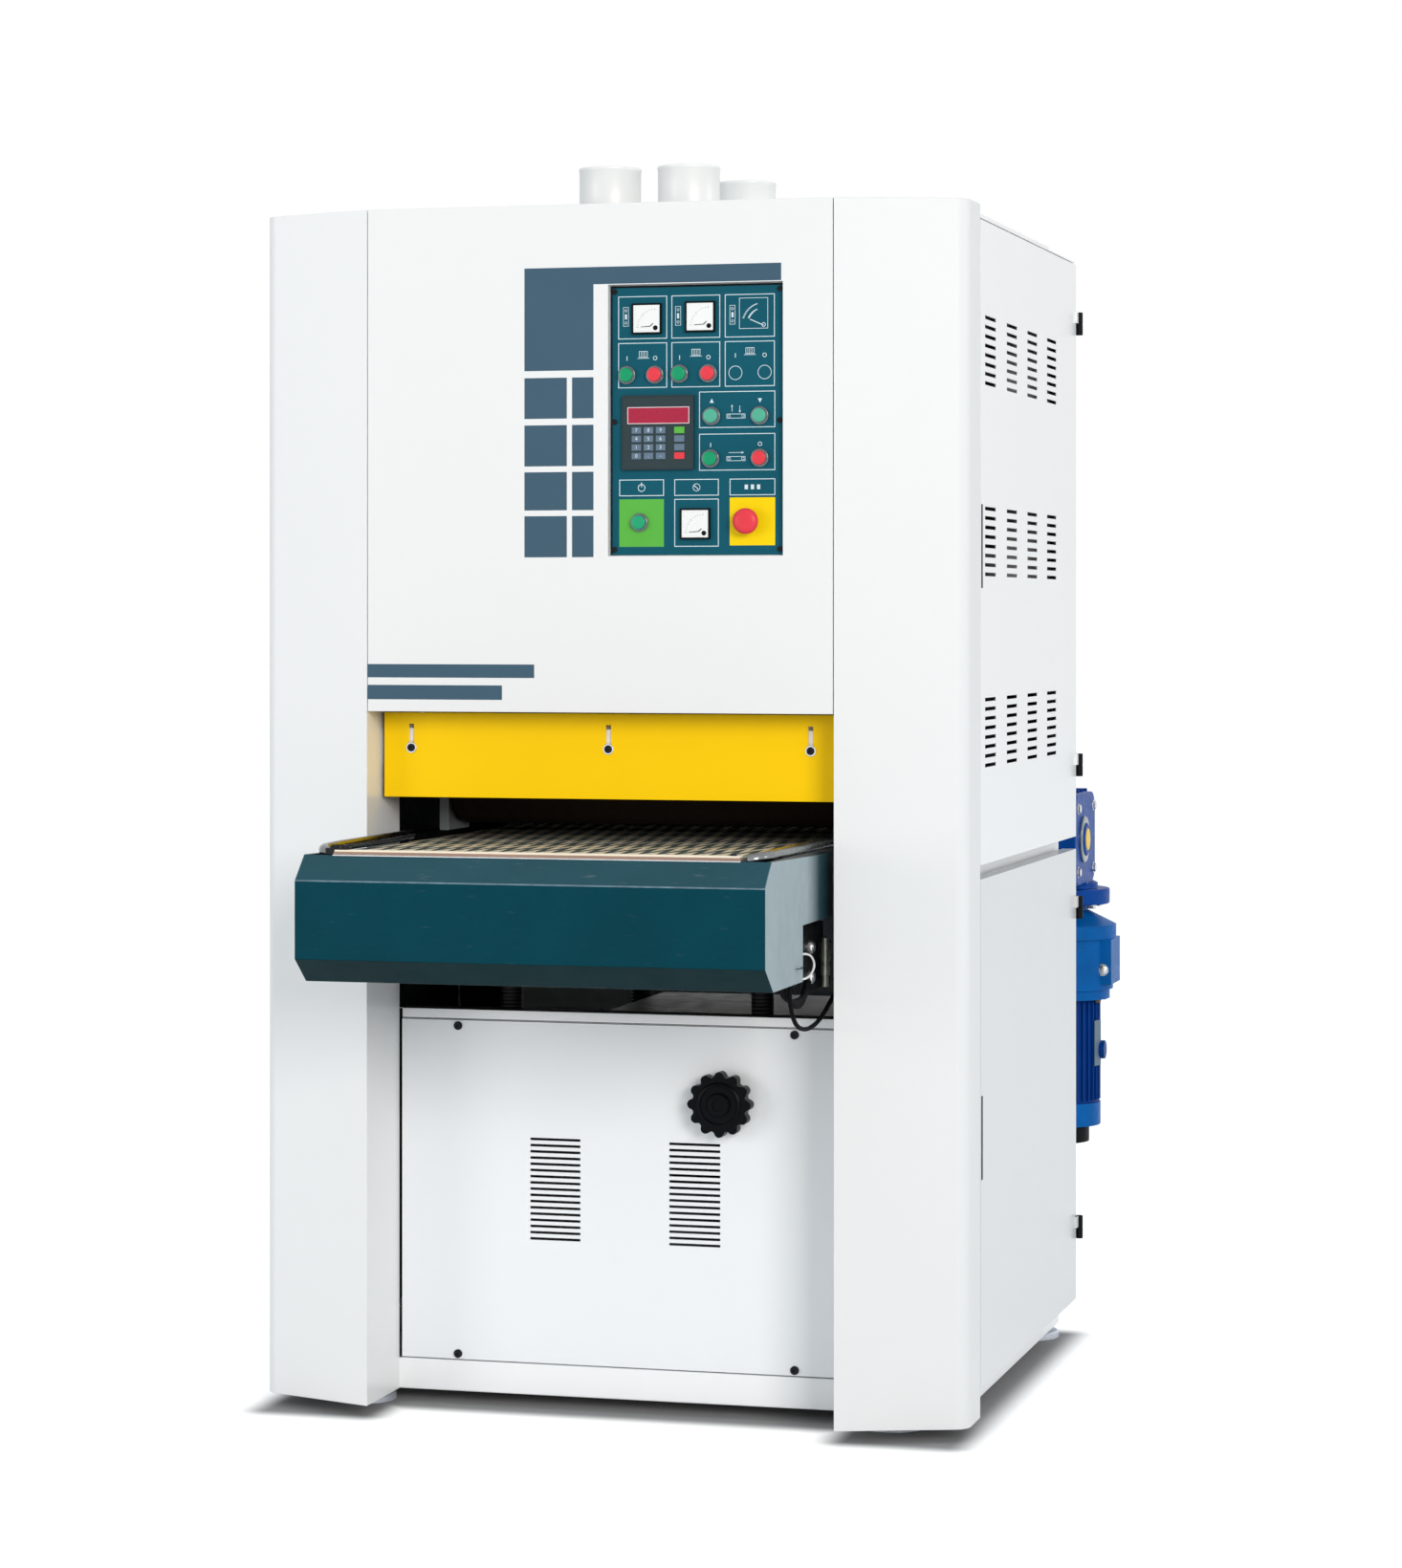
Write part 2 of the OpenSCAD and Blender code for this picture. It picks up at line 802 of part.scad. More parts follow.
module pillar() {
    difference() {
        translate([0, 0, foot_h]) linear_extrude(height = cabinet_h - foot_h) polygon(pillar_plan(0));
        translate([0, 0, foot_h - overrun])
            linear_extrude(height = cabinet_h - foot_h + overrun - sheet_t) polygon(pillar_plan(sheet_t));
    }
}

module right_pillar() {
    color("white") in_frame() pillar();
}

module left_pillar() {
    color("white") in_frame() mirror([1, 0, 0]) pillar();
}

module upper_front_cover() {
    window_x = plate_w / 2 + window_air;
    window_z = plate_h / 2 + window_air;
    color("white") in_frame() difference() {
        union() {
            difference() {
                block(-cover_x, cover_x, 0, pillar_d, cover_z, cabinet_h);
                block(-cover_x + sheet_t, cover_x - sheet_t, sheet_t, pillar_d + overrun,
                    cover_z + sheet_t, cabinet_h - sheet_t);
                block(-cover_x + sheet_t, cover_x - sheet_t, cover_lip, pillar_d + overrun,
                    cover_z - overrun, cover_z + sheet_t + overrun);
            }
            block(plate_x - window_x - sheet_t, plate_x + window_x + sheet_t, 0,
                plate_front + plate_t + sheet_t,
                plate_z - window_z - sheet_t, plate_z + window_z + sheet_t);
        }
        block(plate_x - window_x, plate_x + window_x, -overrun, plate_front + plate_t,
            plate_z - window_z, plate_z + window_z);
        block(plate_x - window_x + window_rim, plate_x + window_x - window_rim, 0,
            plate_front + plate_t + sheet_t + overrun,
            plate_z - window_z + window_rim, plate_z + window_z - window_rim);
    }
}

module lower_front_panel() {
    z0 = base_top + seam;
    color("white") in_frame() difference() {
        block(-panel_x, panel_x, pillar_d, front_y0, z0, z0 + panel_h);
        block(-panel_x + sheet_t, panel_x - sheet_t, pillar_d + sheet_t, front_y0 + overrun,
            z0 + sheet_t, z0 + panel_h - sheet_t);
        for (side = [-1, 1], i = [0:panel_slots - 1])
            translate([side * panel_slot_x - panel_slot_w / 2, pillar_d - overrun,
                panel_slot_z + i * panel_slot_pitch])
                cube([panel_slot_w, sheet_t + 2 * overrun, panel_slot_h]);
        rod_y(panel_hole_r, pillar_d - overrun, pillar_d + sheet_t + overrun, shaft_x, shaft_z);
    }
}

module top_cover() {
    color("white") in_frame() difference() {
        union() {
            block(-roof_x, roof_x, door_y0, cabinet_d, roof_z, roof_z + sheet_t);
            block(-lid_x, lid_x, lid_y0, lid_y1, roof_z, lid_top);
        }
        for (p = outlet_places)
            rod_z(outlet_r - outlet_t, roof_z - overrun, lid_top + overrun, p[0], p[1]);
    }
}

module dust_outlets() {
    color("silver") in_frame() for (p = outlet_places) difference() {
        union() {
            rod_z(outlet_r, lid_top, lid_top + outlet_h, p[0], p[1]);
            rod_z(outlet_flange_r, lid_top, lid_top + outlet_flange_t, p[0], p[1]);
        }
        rod_z(outlet_r - outlet_t, lid_top - overrun, lid_top + outlet_h + overrun, p[0], p[1]);
    }
}

module rear_panels() {
    color("white") in_frame() {
        block(-rear_x, rear_x, cabinet_d, cabinet_d + sheet_t, base_top, rear_low_top);
        block(-rear_x, rear_x, cabinet_d, cabinet_d + sheet_t, rear_high_z, roof_z);
    }
}

module levelling_feet() {
    color("dimgray") in_frame() both_sides() {
        for (p = [[foot_x, foot_front_y], [(column_x0 + column_x1) / 2, foot_rear_y]]) {
            rod_z(pad_r, 0, pad_h, p[0], p[1]);
            rod_z(neck_r, pad_h, foot_h, p[0], p[1]);
        }
    }
}

// A square window or body centred on a place of the control plate
module plate_square(place, w, y0, y1) {
    block(place[0] - w / 2, place[0] + w / 2, y0, y1, place[1] - w / 2, place[1] + w / 2);
}

module control_plate() {
    color("teal") in_frame() difference() {
        block(plate_x0, plate_x0 + plate_w, plate_front, plate_front + plate_t, plate_z1 - plate_h,
            plate_z1);
        for (s = concat(button_places_shares, [stop_place_shares]))
            rod_y(stem_r + fit_air, plate_front - overrun, plate_front + plate_t + overrun,
                plate_place(s)[0], plate_place(s)[1]);
        for (s = meter_places_shares)
            plate_square(plate_place(s), meter_body_w + 2 * fit_air, plate_front - overrun,
                plate_front + plate_t + overrun);
        plate_square(plate_place(controller_place_shares), controller_body_w + 2 * fit_air,
            plate_front - overrun,
            plate_front + plate_t + overrun);
    }
}

module panel_instruments() {
    color("black") in_frame() {
        for (s = meter_places_shares) {
            plate_square(plate_place(s), meter_w, plate_front - meter_front, plate_front);
            plate_square(plate_place(s), meter_body_w, plate_front, plate_front + meter_body_l);
        }
        plate_square(plate_place(controller_place_shares), controller_w,
            plate_front - controller_front, plate_front);
        plate_square(plate_place(controller_place_shares), controller_body_w, plate_front,
            plate_front + controller_body_l);
    }
}

// Metal collar in front of the plate and contact block behind it
module collar(shares, r, h, bore_r) {
    x = plate_place(shares)[0];
    z = plate_place(shares)[1];
    back = plate_front + plate_t;
    difference() {
        rod_y(r, plate_front - h, plate_front, x, z);
        rod_y(bore_r, plate_front - h - overrun, plate_front + overrun, x, z);
    }
    difference() {
        rod_y(contact_r, back, back + contact_l, x, z);
        rod_y(stem_r + fit_air, back - overrun, back + contact_bore_l, x, z);
    }
}

module button_collars() {
    color("silver") in_frame() {
        for (s = button_places_shares)
            collar(s, collar_r, collar_h, button_r + fit_air);
        collar(stop_place_shares, stop_collar_r, stop_collar_h, stem_r + fit_air);
    }
}

// A button's cap and its stem through the plate
module button(shares, r, t, out) {
    x = plate_place(shares)[0];
    z = plate_place(shares)[1];
    rod_y(r, plate_front - out, plate_front - out + t, x, z);
    rod_y(stem_r, plate_front - out + t / 2, plate_front + plate_t + stem_l, x, z);
}

module head1_start() {
    color("green") in_frame() button(button_places_shares[0], button_r, button_t, button_out);
}

module head1_stop() {
    color("red") in_frame() button(button_places_shares[1], button_r, button_t, button_out);
}

module head2_start() {
    color("green") in_frame() button(button_places_shares[2], button_r, button_t, button_out);
}

module head2_stop() {
    color("red") in_frame() button(button_places_shares[3], button_r, button_t, button_out);
}

module table_up() {
    color("lightgreen") in_frame() button(button_places_shares[4], button_r, button_t, button_out);
}

module table_down() {
    color("lightgreen") in_frame() button(button_places_shares[5], button_r, button_t, button_out);
}

module feed_start() {
    color("green") in_frame() button(button_places_shares[6], button_r, button_t, button_out);
}

module feed_stop() {
    color("red") in_frame() button(button_places_shares[7], button_r, button_t, button_out);
}

module power_button() {
    color("limegreen") in_frame() button(button_places_shares[8], button_r, button_t, button_out);
}

module emergency_stop() {
    color("red") in_frame() button(stop_place_shares, stop_r, stop_t, stop_out);
}

module cover_screws() {
    z0 = base_top + seam;
    color("dimgray") in_frame() {
        for (x = [-panel_screw_x, panel_screw_x], z = [z0 + panel_screw_in, z0 + panel_h - panel_screw_in])
            rod_y(panel_screw_r, pillar_d - panel_screw_h, pillar_d, x, z);
        for (sx = screw_x_shares, sz = screw_z_shares)
            rod_y(plate_screw_r, plate_front - plate_screw_h, plate_front,
                plate_place([sx, sz])[0], plate_place([sx, sz])[1]);
        for (x = [-guard_slot_x, 0, guard_slot_x]) {
            rod_y(guard_bolt_r, guard_y - belt_air - guard_bolt_h, guard_y - belt_air, x, guard_slot_z);
            rod_y(guard_shank_r, guard_y - belt_air - overrun, guard_rail_y, x, guard_slot_z);
        }
    }
}

// A hinge's fixed knuckle, leaf and pin
module fixed_hinge(z) {
    rod_z(knuckle_r, z, z + knuckle_h, hinge_x, hinge_y);
    rod_z(pin_r, z, z + 2 * knuckle_h + knuckle_air, hinge_x, hinge_y);
    block(column_x1, hinge_x, cabinet_d + sheet_t, cabinet_d + sheet_t + leaf_t, z, z + knuckle_h);
}

module door_hinges() {
    color("black") in_frame() {
        for (z = concat(upper_hinges, lower_hinges))
            fixed_hinge(z);
        for (z = left_hinges)
            mirror([1, 0, 0]) fixed_hinge(z);
    }
}

// A folded door on the right side, with its vent slots, finger slot and knuckles
module door(z0, z1, hinges, finger_z, vented) {
    difference() {
        union() {
            difference() {
                block(half_cab - door_t, half_cab, door_y0, door_y1, z0, z1);
                block(half_cab - door_t - overrun, half_cab - sheet_t, door_y0 + sheet_t, door_y1 - sheet_t,
                    z0 + sheet_t, z1 - sheet_t);
            }
            for (z = hinges) {
                rod_z(knuckle_r, z + knuckle_h + knuckle_air, z + 2 * knuckle_h + knuckle_air,
                    hinge_x, hinge_y);
                block(half_cab - sheet_t, hinge_x, door_y1 - leaf_l, hinge_y,
                    z + knuckle_h + knuckle_air, z + 2 * knuckle_h + knuckle_air);
            }
        }
        for (z = hinges)
            rod_z(pin_r + run_air, z + knuckle_h, z + 2 * knuckle_h + knuckle_air + overrun,
                hinge_x, hinge_y);
        if (vented)
            for (c = [0:slot_columns - 1], g = [0:slot_groups - 1], i = [0:slot_rows - 1])
                translate([
                    half_cab - sheet_t - overrun,
                    slot_first_y + c * slot_column_pitch - door_slot_l / 2,
                    slot_first_z + g * slot_group_pitch + i * door_slot_pitch
                ])
                    cube([sheet_t + 2 * overrun, door_slot_l, door_slot_h]);
        block(half_cab - sheet_t - overrun, half_cab + overrun, door_y0 + finger_slot_in,
            door_y0 + finger_slot_in + finger_slot_w, finger_z, finger_z + finger_slot_h);
    }
}

module right_upper_door() {
    color("white") in_frame() door(upper_door_z, door_top, upper_hinges, upper_finger_z, true);
}

module right_lower_door() {
    color("white") in_frame() door(door_z, door_z + lower_door_h, lower_hinges, lower_finger_z, false);
}

module left_door() {
    color("white") in_frame() mirror([1, 0, 0]) door(door_z, door_top, left_hinges, upper_finger_z, true);
}

// One head's beam with its drum hangers and its tension cylinder
module head_beam(drum_y, beam_y, hanger_y0, hanger_y1) {
    difference() {
        union() {
            block(-column_x0 - beam_end, column_x0 + beam_end, beam_y - beam_w / 2, beam_y + beam_w / 2,
                head_rail_top, beam_top);
            both_sides()
                block(hanger_x, hanger_x + hanger_t, hanger_y0, hanger_y1, drum_z - hanger_drop,
                    head_rail_top + overrun);
            rod_z(cylinder_r, beam_top - overrun, cylinder_top, 0, beam_y);
        }
        rod_x(drum_shaft_r + run_air, -hanger_x - hanger_t - overrun,
            hanger_x + hanger_t + overrun, drum_y, drum_z);
        rod_z(rod_r + run_air, beam_top, cylinder_top + overrun, 0, beam_y);
    }
}

module head_beams() {
    color("slategray") in_frame() {
        head_beam(front_head_y, front_head_y, front_head_y - hanger_reach, front_head_y + hanger_reach);
        head_beam(rear_head_y, rear_tension_y, rear_head_y - hanger_reach, rear_hanger_y1);
    }
}

module sanding_belts() {
    color("sienna") in_frame() {
        for (circles = [front_belt_circles, rear_belt_circles])
            along_x(-sand_belt_w / 2, sand_belt_w / 2) loop_outline(circles, belt_air, sand_belt_t);
    }
}

module sanding_pad() {
    x = sand_belt_w / 2 - pad_in;
    z0 = pass_z + sand_grow;
    color("dimgray") in_frame() {
        block(-x, x, pad_front_y, nose_y, z0, pad_top_z);
        rod_x(nose_r, -x, x, nose_y, z0 + nose_r);
        block(-x, x, nose_y - overrun, nose_y + nose_r - pad_belt_air, z0 + nose_r, pad_top_z);
        block(-x, x, pad_web_y, pad_web_y + pad_web_t, pad_top_z - overrun,
            head_rail_top - pad_flange_h + overrun);
        block(-x, x, rear_tension_y, pad_web_y + pad_web_t, head_rail_top - pad_flange_h, head_rail_top);
    }
}

// A main motor on its feet, with the bore for its rotor shaft
module main_motor(y) {
    difference() {
        union() {
            rod_x(motor_r, motor_x0, motor_x1, y, motor_axis_z);
            for (x = motor_rail_x)
                block(x - motor_foot_w / 2, x + motor_foot_w / 2, y - motor_r * motor_foot_share,
                    y + motor_r * motor_foot_share, base_top, base_top + motor_foot_h);
            block(motor_rail_x[0] - motor_foot_w / 2, motor_rail_x[0] + motor_box_w, y - motor_box_w / 2,
                y + motor_box_w / 2, motor_axis_z, motor_axis_z + motor_r + motor_box_h);
        }
        rod_x(motor_shaft_r + run_air, motor_x1 - motor_shaft_in, motor_x1 + overrun, y, motor_axis_z);
    }
}

module main_motors() {
    color("steelblue") in_frame() {
        main_motor(front_head_y);
        main_motor(rear_head_y);
    }
}

module motor_pulley(y) {
    rod_x(motor_shaft_r, motor_x1 - motor_shaft_in + overrun, pulley_x + pulley_w + overrun, y,
        motor_axis_z);
    rod_x(motor_pulley_r, pulley_x, pulley_x + pulley_w, y, motor_axis_z);
}

module front_motor_pulley() {
    color("gray") in_frame() motor_pulley(front_head_y);
}

module rear_motor_pulley() {
    color("gray") in_frame() motor_pulley(rear_head_y);
}

module drive_belts() {
    color("black") in_frame() {
        for (y = [front_head_y, rear_head_y])
            along_x(pulley_x + drive_belt_in, pulley_x + pulley_w - drive_belt_in)
                loop_outline(drive_circles(y), belt_air, drive_belt_t);
    }
}

// A contact drum with its shaft and the pulley at its right end
module drum(y) {
    rod_x(drum_r, -drum_end_x, drum_end_x, y, drum_z);
    rod_x(drum_shaft_r, -hanger_x - hanger_t, pulley_x + pulley_w + overrun, y, drum_z);
    rod_x(drum_pulley_r, pulley_x, pulley_x + pulley_w, y, drum_z);
}

module front_drum() {
    color("dimgray") in_frame() drum(front_head_y);
}

module rear_drum() {
    color("dimgray") in_frame() drum(rear_head_y);
}

module tension_roller(y) {
    rod_x(tension_r, -drum_end_x, drum_end_x, y, tension_z);
    rod_x(tension_shaft_r, -hanger_x - yoke_arm_t, hanger_x + yoke_arm_t, y, tension_z);
}

module front_tension_roller() {
    color("silver") in_frame() tension_roller(front_head_y);
}

module rear_tension_roller() {
    color("silver") in_frame() tension_roller(rear_tension_y);
}

// The fork that carries a tension roller, with the cylinder's rod
module tension_yoke(y) {
    difference() {
        union() {
            block(-hanger_x - yoke_arm_t, hanger_x + yoke_arm_t, y - yoke_half_d, y + yoke_half_d,
                yoke_bar_z, yoke_bar_z + yoke_bar_h);
            both_sides()
                block(hanger_x, hanger_x + yoke_arm_t, y - yoke_half_d, y + yoke_half_d,
                    yoke_bar_z, tension_z + yoke_arm_over);
            rod_z(rod_r, rod_z0, yoke_bar_z + overrun, 0, y);
        }
        rod_x(tension_shaft_r + run_air, -hanger_x - yoke_arm_t - overrun,
            hanger_x + yoke_arm_t + overrun, y, tension_z);
    }
}

module front_tension_yoke() {
    color("slategray") in_frame() tension_yoke(front_head_y);
}

module rear_tension_yoke() {
    color("slategray") in_frame() tension_yoke(rear_tension_y);
}

// A shoe that holds the work down, on two arms from the hangers
module pressure_shoe(from_y, y) {
    x = hanger_x + hanger_t;
    z0 = pass_z + shoe_lift;
    block(-x, x, y, y + shoe_d, z0, z0 + shoe_h);
    both_sides() block(hanger_x, x, from_y, y + shoe_d, z0, z0 + shoe_arm_h);
}

module pressure_shoes() {
    color("silver") in_frame() {
        pressure_shoe(front_head_y + hanger_reach, front_shoe_y);
        pressure_shoe(rear_hanger_y1, rear_shoe_y);
    }
}

module infeed_guard() {
    top = cover_z - guard_top_gap;
    color("gold") in_frame() difference() {
        union() {
            block(-guard_x, guard_x, guard_y, guard_y + sheet_t, guard_z, top);
            block(-guard_x, guard_x, guard_y, guard_y + guard_hem, guard_z, guard_z + sheet_t);
        }
        for (x = [-guard_slot_x, 0, guard_slot_x]) {
            rod_y(guard_slot_w / 2, guard_y - overrun, guard_y + sheet_t + overrun, x, guard_slot_z);
            block(x - guard_slot_w / 2, x + guard_slot_w / 2, guard_y - overrun,
                guard_y + sheet_t + overrun,
                guard_slot_z, guard_slot_z + guard_slot_h);
        }
    }
}

module feed_table() {
    color("lightsteelblue") in_frame() difference() {
        union() {
            both_sides()
                block(bed_x0, bed_x1, infeed_y - side_over, drive_y + side_rear_over, side_z0, side_z1);
            block(-bed_x0, bed_x0, infeed_y + roller_r + bed_gap, drive_y - roller_r - bed_gap,
                roller_z + roller_r - bed_t, roller_z + roller_r);
            for (s = tube_shares)
                block(-bed_x0, bed_x0, infeed_y + s * roller_span - tube_w / 2,
                    infeed_y + s * roller_span + tube_w / 2,
                    roller_z + tube_drop - tube_h, roller_z + tube_drop);
            for (y = [front_jack_y, rear_jack_y])
                block(-bed_x0, bed_x0, y - cross_w / 2, y + cross_w / 2, side_z0, side_z0 + cross_h);
            rod_x(standoff_r, bed_x1 - overrun, gear_x0, drive_y, roller_z);
            rod_x(boss_r, -bed_x1 - boss_t, -bed_x1 + overrun, drive_y, roller_z);
        }
        rod_x(drive_shaft_r + run_air, -bed_x1 - boss_t - overrun, bed_x1 + overrun, drive_y, roller_z);
        rod_x(standoff_bore_r, bed_x1, gear_x0 + overrun, drive_y, roller_z);
        both_sides()
            block(bed_x0 - overrun, bed_x1 + overrun, infeed_y - take_up_slot, infeed_y + take_up_slot,
                roller_z - infeed_shaft_r - seam, roller_z + infeed_shaft_r + seam);
    }
}

module conveyor_belt() {
    color("tan") in_frame() along_x(-feed_belt_w / 2, feed_belt_w / 2)
        loop_outline(conveyor_circles, belt_air, feed_belt_t);
}

// Outline of the roller guard's front wrap, from its top edge round to its bottom lip
guard_path = [
    [guard_top_y, feed_h], [guard_face_y, guard_bevel_z1], [guard_face_y, guard_bevel_z0],
    [guard_low_y, guard_bottom_z], [guard_lip_y, guard_bottom_z]
];
function guard_inner(i) =
    let (n = len(guard_path) - 1)
    i == 0 ? guard_path[0] - sheet_t * right_of(way(guard_path[0], guard_path[1])) :
    i == n ? guard_path[n] - sheet_t * right_of(way(guard_path[n - 1], guard_path[n])) :
    mitre(guard_path[i - 1], guard_path[i], guard_path[i + 1], sheet_t);

module roller_guard() {
    last = len(guard_path) - 1;
    cheek = concat(guard_path, [
        [guard_step_y, guard_bottom_z], [guard_step_y, guard_step_z],
        [guard_back_y, guard_step_z], [guard_back_y, guard_back_z]
    ]);
    color("teal") in_frame() {
        along_x(-guard_half_w, guard_half_w)
            polygon(concat(guard_path, [for (i = [last:-1:0]) guard_inner(i)]));
        both_sides() along_x(guard_half_w - sheet_t, guard_half_w) polygon(cheek);
    }
}

module jack_screws() {
    color("silver") in_frame() both_sides() {
        for (y = [front_jack_y, rear_jack_y])
            rod_z(screw_r, shaft_z - screw_below, side_z0, screw_x, y);
    }
}

module jack_housings() {
    color("steelblue") in_frame() both_sides() {
        for (y = [front_jack_y, rear_jack_y])
            difference() {
                block(jack_x0, jack_x1, y - jack_half_d, y + jack_half_d, jack_rail_z,
                    shaft_z + jack_above);
                rod_z(screw_r + run_air, jack_rail_z - overrun, shaft_z + jack_above + overrun, screw_x, y);
                rod_y(shaft_r + run_air, y - jack_half_d - overrun, y + jack_half_d + overrun,
                    shaft_x, shaft_z);
            }
    }
}

// A line shaft with its sprocket
module line_shaft(x, y0) {
    rod_y(shaft_r, y0, rear_jack_y + jack_half_d - shaft_rear_in, x, shaft_z);
    rod_y(sprocket_r, sprocket_y, sprocket_y + sprocket_w, x, shaft_z);
}

module right_lift_shaft() {
    color("silver") in_frame() line_shaft(shaft_x, pillar_d - knob_front + knob_cap_t);
}

module left_lift_shaft() {
    color("silver") in_frame() line_shaft(-shaft_x, left_shaft_y0);
}

module table_knob() {
    y0 = pillar_d - knob_front;
    color("black") in_frame() difference() {
        union() {
            rod_y(knob_r, y0, y0 + knob_t, shaft_x, shaft_z);
            for (i = [0:knob_lobes - 1])
                rod_y(lobe_r, y0, y0 + knob_t, shaft_x + knob_r * cos(360 * i / knob_lobes),
                    shaft_z + knob_r * sin(360 * i / knob_lobes));
            rod_y(hub_r, y0 + knob_t - overrun, pillar_d - hub_gap, shaft_x, shaft_z);
        }
        rod_y(shaft_r + run_air, y0 + knob_cap_t, pillar_d, shaft_x, shaft_z);
    }
}

module lift_chain() {
    color("dimgray") in_frame() along_y(sprocket_y - chain_over, sprocket_y + sprocket_w + chain_over)
        loop_outline(chain_circles, belt_air, chain_t);
}

module lift_motor() {
    y1 = rear_jack_y - jack_half_d;
    color("steelblue") in_frame() difference() {
        rod_y(lift_motor_r, y1 - lift_motor_l, y1, -shaft_x, shaft_z);
        rod_y(shaft_r + run_air, y1 - lift_motor_l - overrun, y1 + overrun, -shaft_x, shaft_z);
    }
}

module worm_gearbox() {
    color("royalblue") in_frame() difference() {
        union() {
            along_x(gear_x0, gear_x1)
                polygon(round_box(drive_y - gear_front, worm_y + gear_rear, roller_z - gear_half_h,
                    roller_z + gear_half_h, gear_corner_r));
            rod_x(gear_boss_r, gear_x1 - overrun, gear_x1 + gear_boss_t, drive_y, roller_z);
            rod_x(gear_cap_r, gear_x1, gear_x1 + gear_boss_t + gear_cap_t, drive_y, roller_z);
            rod_z(gear_neck_r, gear_flange_z0, roller_z - gear_half_h + overrun, gear_x, worm_y);
            rod_z(gear_flange_r, gear_flange_z0, gear_flange_z0 + gear_flange_h, gear_x, worm_y);
        }
        rod_x(drive_shaft_r + run_air, gear_x0 - overrun, gear_x1, drive_y, roller_z);
    }
}

module feed_variator() {
    neck_z0 = gear_flange_z0 - variator_neck_h;
    rim_z1 = neck_z0 - variator_cone_h;
    color("royalblue") in_frame() {
        rod_z(variator_neck_r, neck_z0, gear_flange_z0, gear_x, worm_y);
        translate([gear_x, worm_y, rim_z1])
            cylinder(r1 = variator_r + variator_rim_over, r2 = variator_neck_r, h = variator_cone_h);
        rod_z(variator_r + variator_rim_over, variator_rim_z0, rim_z1, gear_x, worm_y);
        rod_z(variator_r, variator_body_z0, variator_rim_z0, gear_x, worm_y);
        rod_z(variator_r - variator_foot_in, variator_z0, variator_body_z0, gear_x, worm_y);
        block(gear_x, gear_x + variator_r + variator_box_over, worm_y - variator_box_d / 2,
            worm_y + variator_box_d / 2, variator_body_z0 + variator_box_in, variator_rim_z0);
    }
}

module feed_motor() {
    fan_z0 = feed_motor_z0 - fan_cover_h;
    color("royalblue") in_frame() {
        rod_z(feed_motor_r, feed_motor_z0, variator_z0, gear_x, worm_y);
        rod_z(fan_cover_r, fan_z0, feed_motor_z0, gear_x, worm_y);
        rod_z(fan_cap_r, fan_z0 - fan_cap_h, fan_z0, gear_x, worm_y);
        rod_x(motor_boss_r, gear_x, gear_x + feed_motor_r + motor_boss_out, worm_y,
            (feed_motor_z0 + variator_z0) / 2);
    }
}

module take_up_blocks() {
    x1 = guard_half_w - sheet_t;
    color("dimgray") in_frame() both_sides() {
        difference() {
            block(bed_x1, x1, infeed_y - block_half, infeed_y + block_half, roller_z - block_half,
                roller_z + block_half);
            rod_x(infeed_shaft_r + run_air, bed_x1 - overrun, x1 + overrun, infeed_y, roller_z);
        }
        rod_y(block_screw_r, infeed_y + block_half - overrun, infeed_y + block_half + block_screw_length,
            (bed_x1 + x1) / 2, roller_z);
        block(bed_x1, x1, infeed_y + block_half + block_screw_length - lug_t,
            infeed_y + block_half + block_screw_length,
            roller_z - lug_t, roller_z + lug_t);
    }
}

module stop_switch() {
    x1 = bed_x1 + switch_t;
    exit = cable_route[0];
    color("black") in_frame() {
        block(bed_x1, x1, switch_y0, switch_y1, switch_z0, switch_z1);
        for (z = [switch_bolt_z, switch_bolt_z + switch_bolt_pitch])
            rod_x(switch_bolt_r, x1 - overrun, x1 + switch_bolt_h, switch_bolt_y, z);
        rod_z(plunger_r, plunger_z0, plunger_z1, x1 + plunger_r + plunger_gap, plunger_y);
        block(x1 - overrun, x1 + plunger_r + plunger_gap, plunger_y - plunger_r, plunger_y + plunger_r,
            (plunger_z0 + plunger_z1) / 2, plunger_z1);
        block(bed_x1, exit[0] + gland_r, exit[1] - gland_r, exit[1] + gland_r, exit[2] + gland_h,
            exit[2] + 2 * gland_h);
        rod_z(gland_r, exit[2], exit[2] + gland_h + overrun, exit[0], exit[1]);
    }
}

// Round tube swept along a route of points
function route_way(path, i) =
    way(path[max(i - 1, 0)], path[min(i + 1, len(path) - 1)]);
function ring_points(c, d, r, sides) =
    let (
        flat = way([0, 0, 0], cross(d, abs(d[0]) > 0.9 ? [0, 1, 0] : [1, 0, 0])),
        other = cross(d, flat)
    )
    [for (k = [0:sides - 1]) c + r * (cos(360 * k / sides) * flat + sin(360 * k / sides) * other)];
module tube(path, r, sides) {
    rings = len(path);
    points = [
        for (i = [0:rings - 1])
            each ring_points(path[i], route_way(path, i), r, sides)
    ];
    walls = [
        for (i = [0:rings - 2], k = [0:sides - 1])
            let (a = i * sides + k, b = i * sides + (k + 1) % sides)
            each [[a, b, b + sides], [a, b + sides, a + sides]]
    ];
    start = [for (k = [sides - 1:-1:0]) k];
    finish = [for (k = [0:sides - 1]) (rings - 1) * sides + k];
    polyhedron(points = points, faces = concat(walls, [start, finish]));
}

module switch_cable() {
    color("black") in_frame() tube(cable_route, cable_r, cable_sides);
}

module conveyor_roller(y, shaft_radius, x0, x1) {
    end = feed_belt_w / 2 + roller_end;
    rod_x(roller_r, -end, end, y, roller_z);
    rod_x(shaft_radius, x0, x1, y, roller_z);
}

module infeed_roller() {
    end = guard_half_w - sheet_t - seam;
    color("silver") in_frame() conveyor_roller(infeed_y, infeed_shaft_r, -end, end);
}

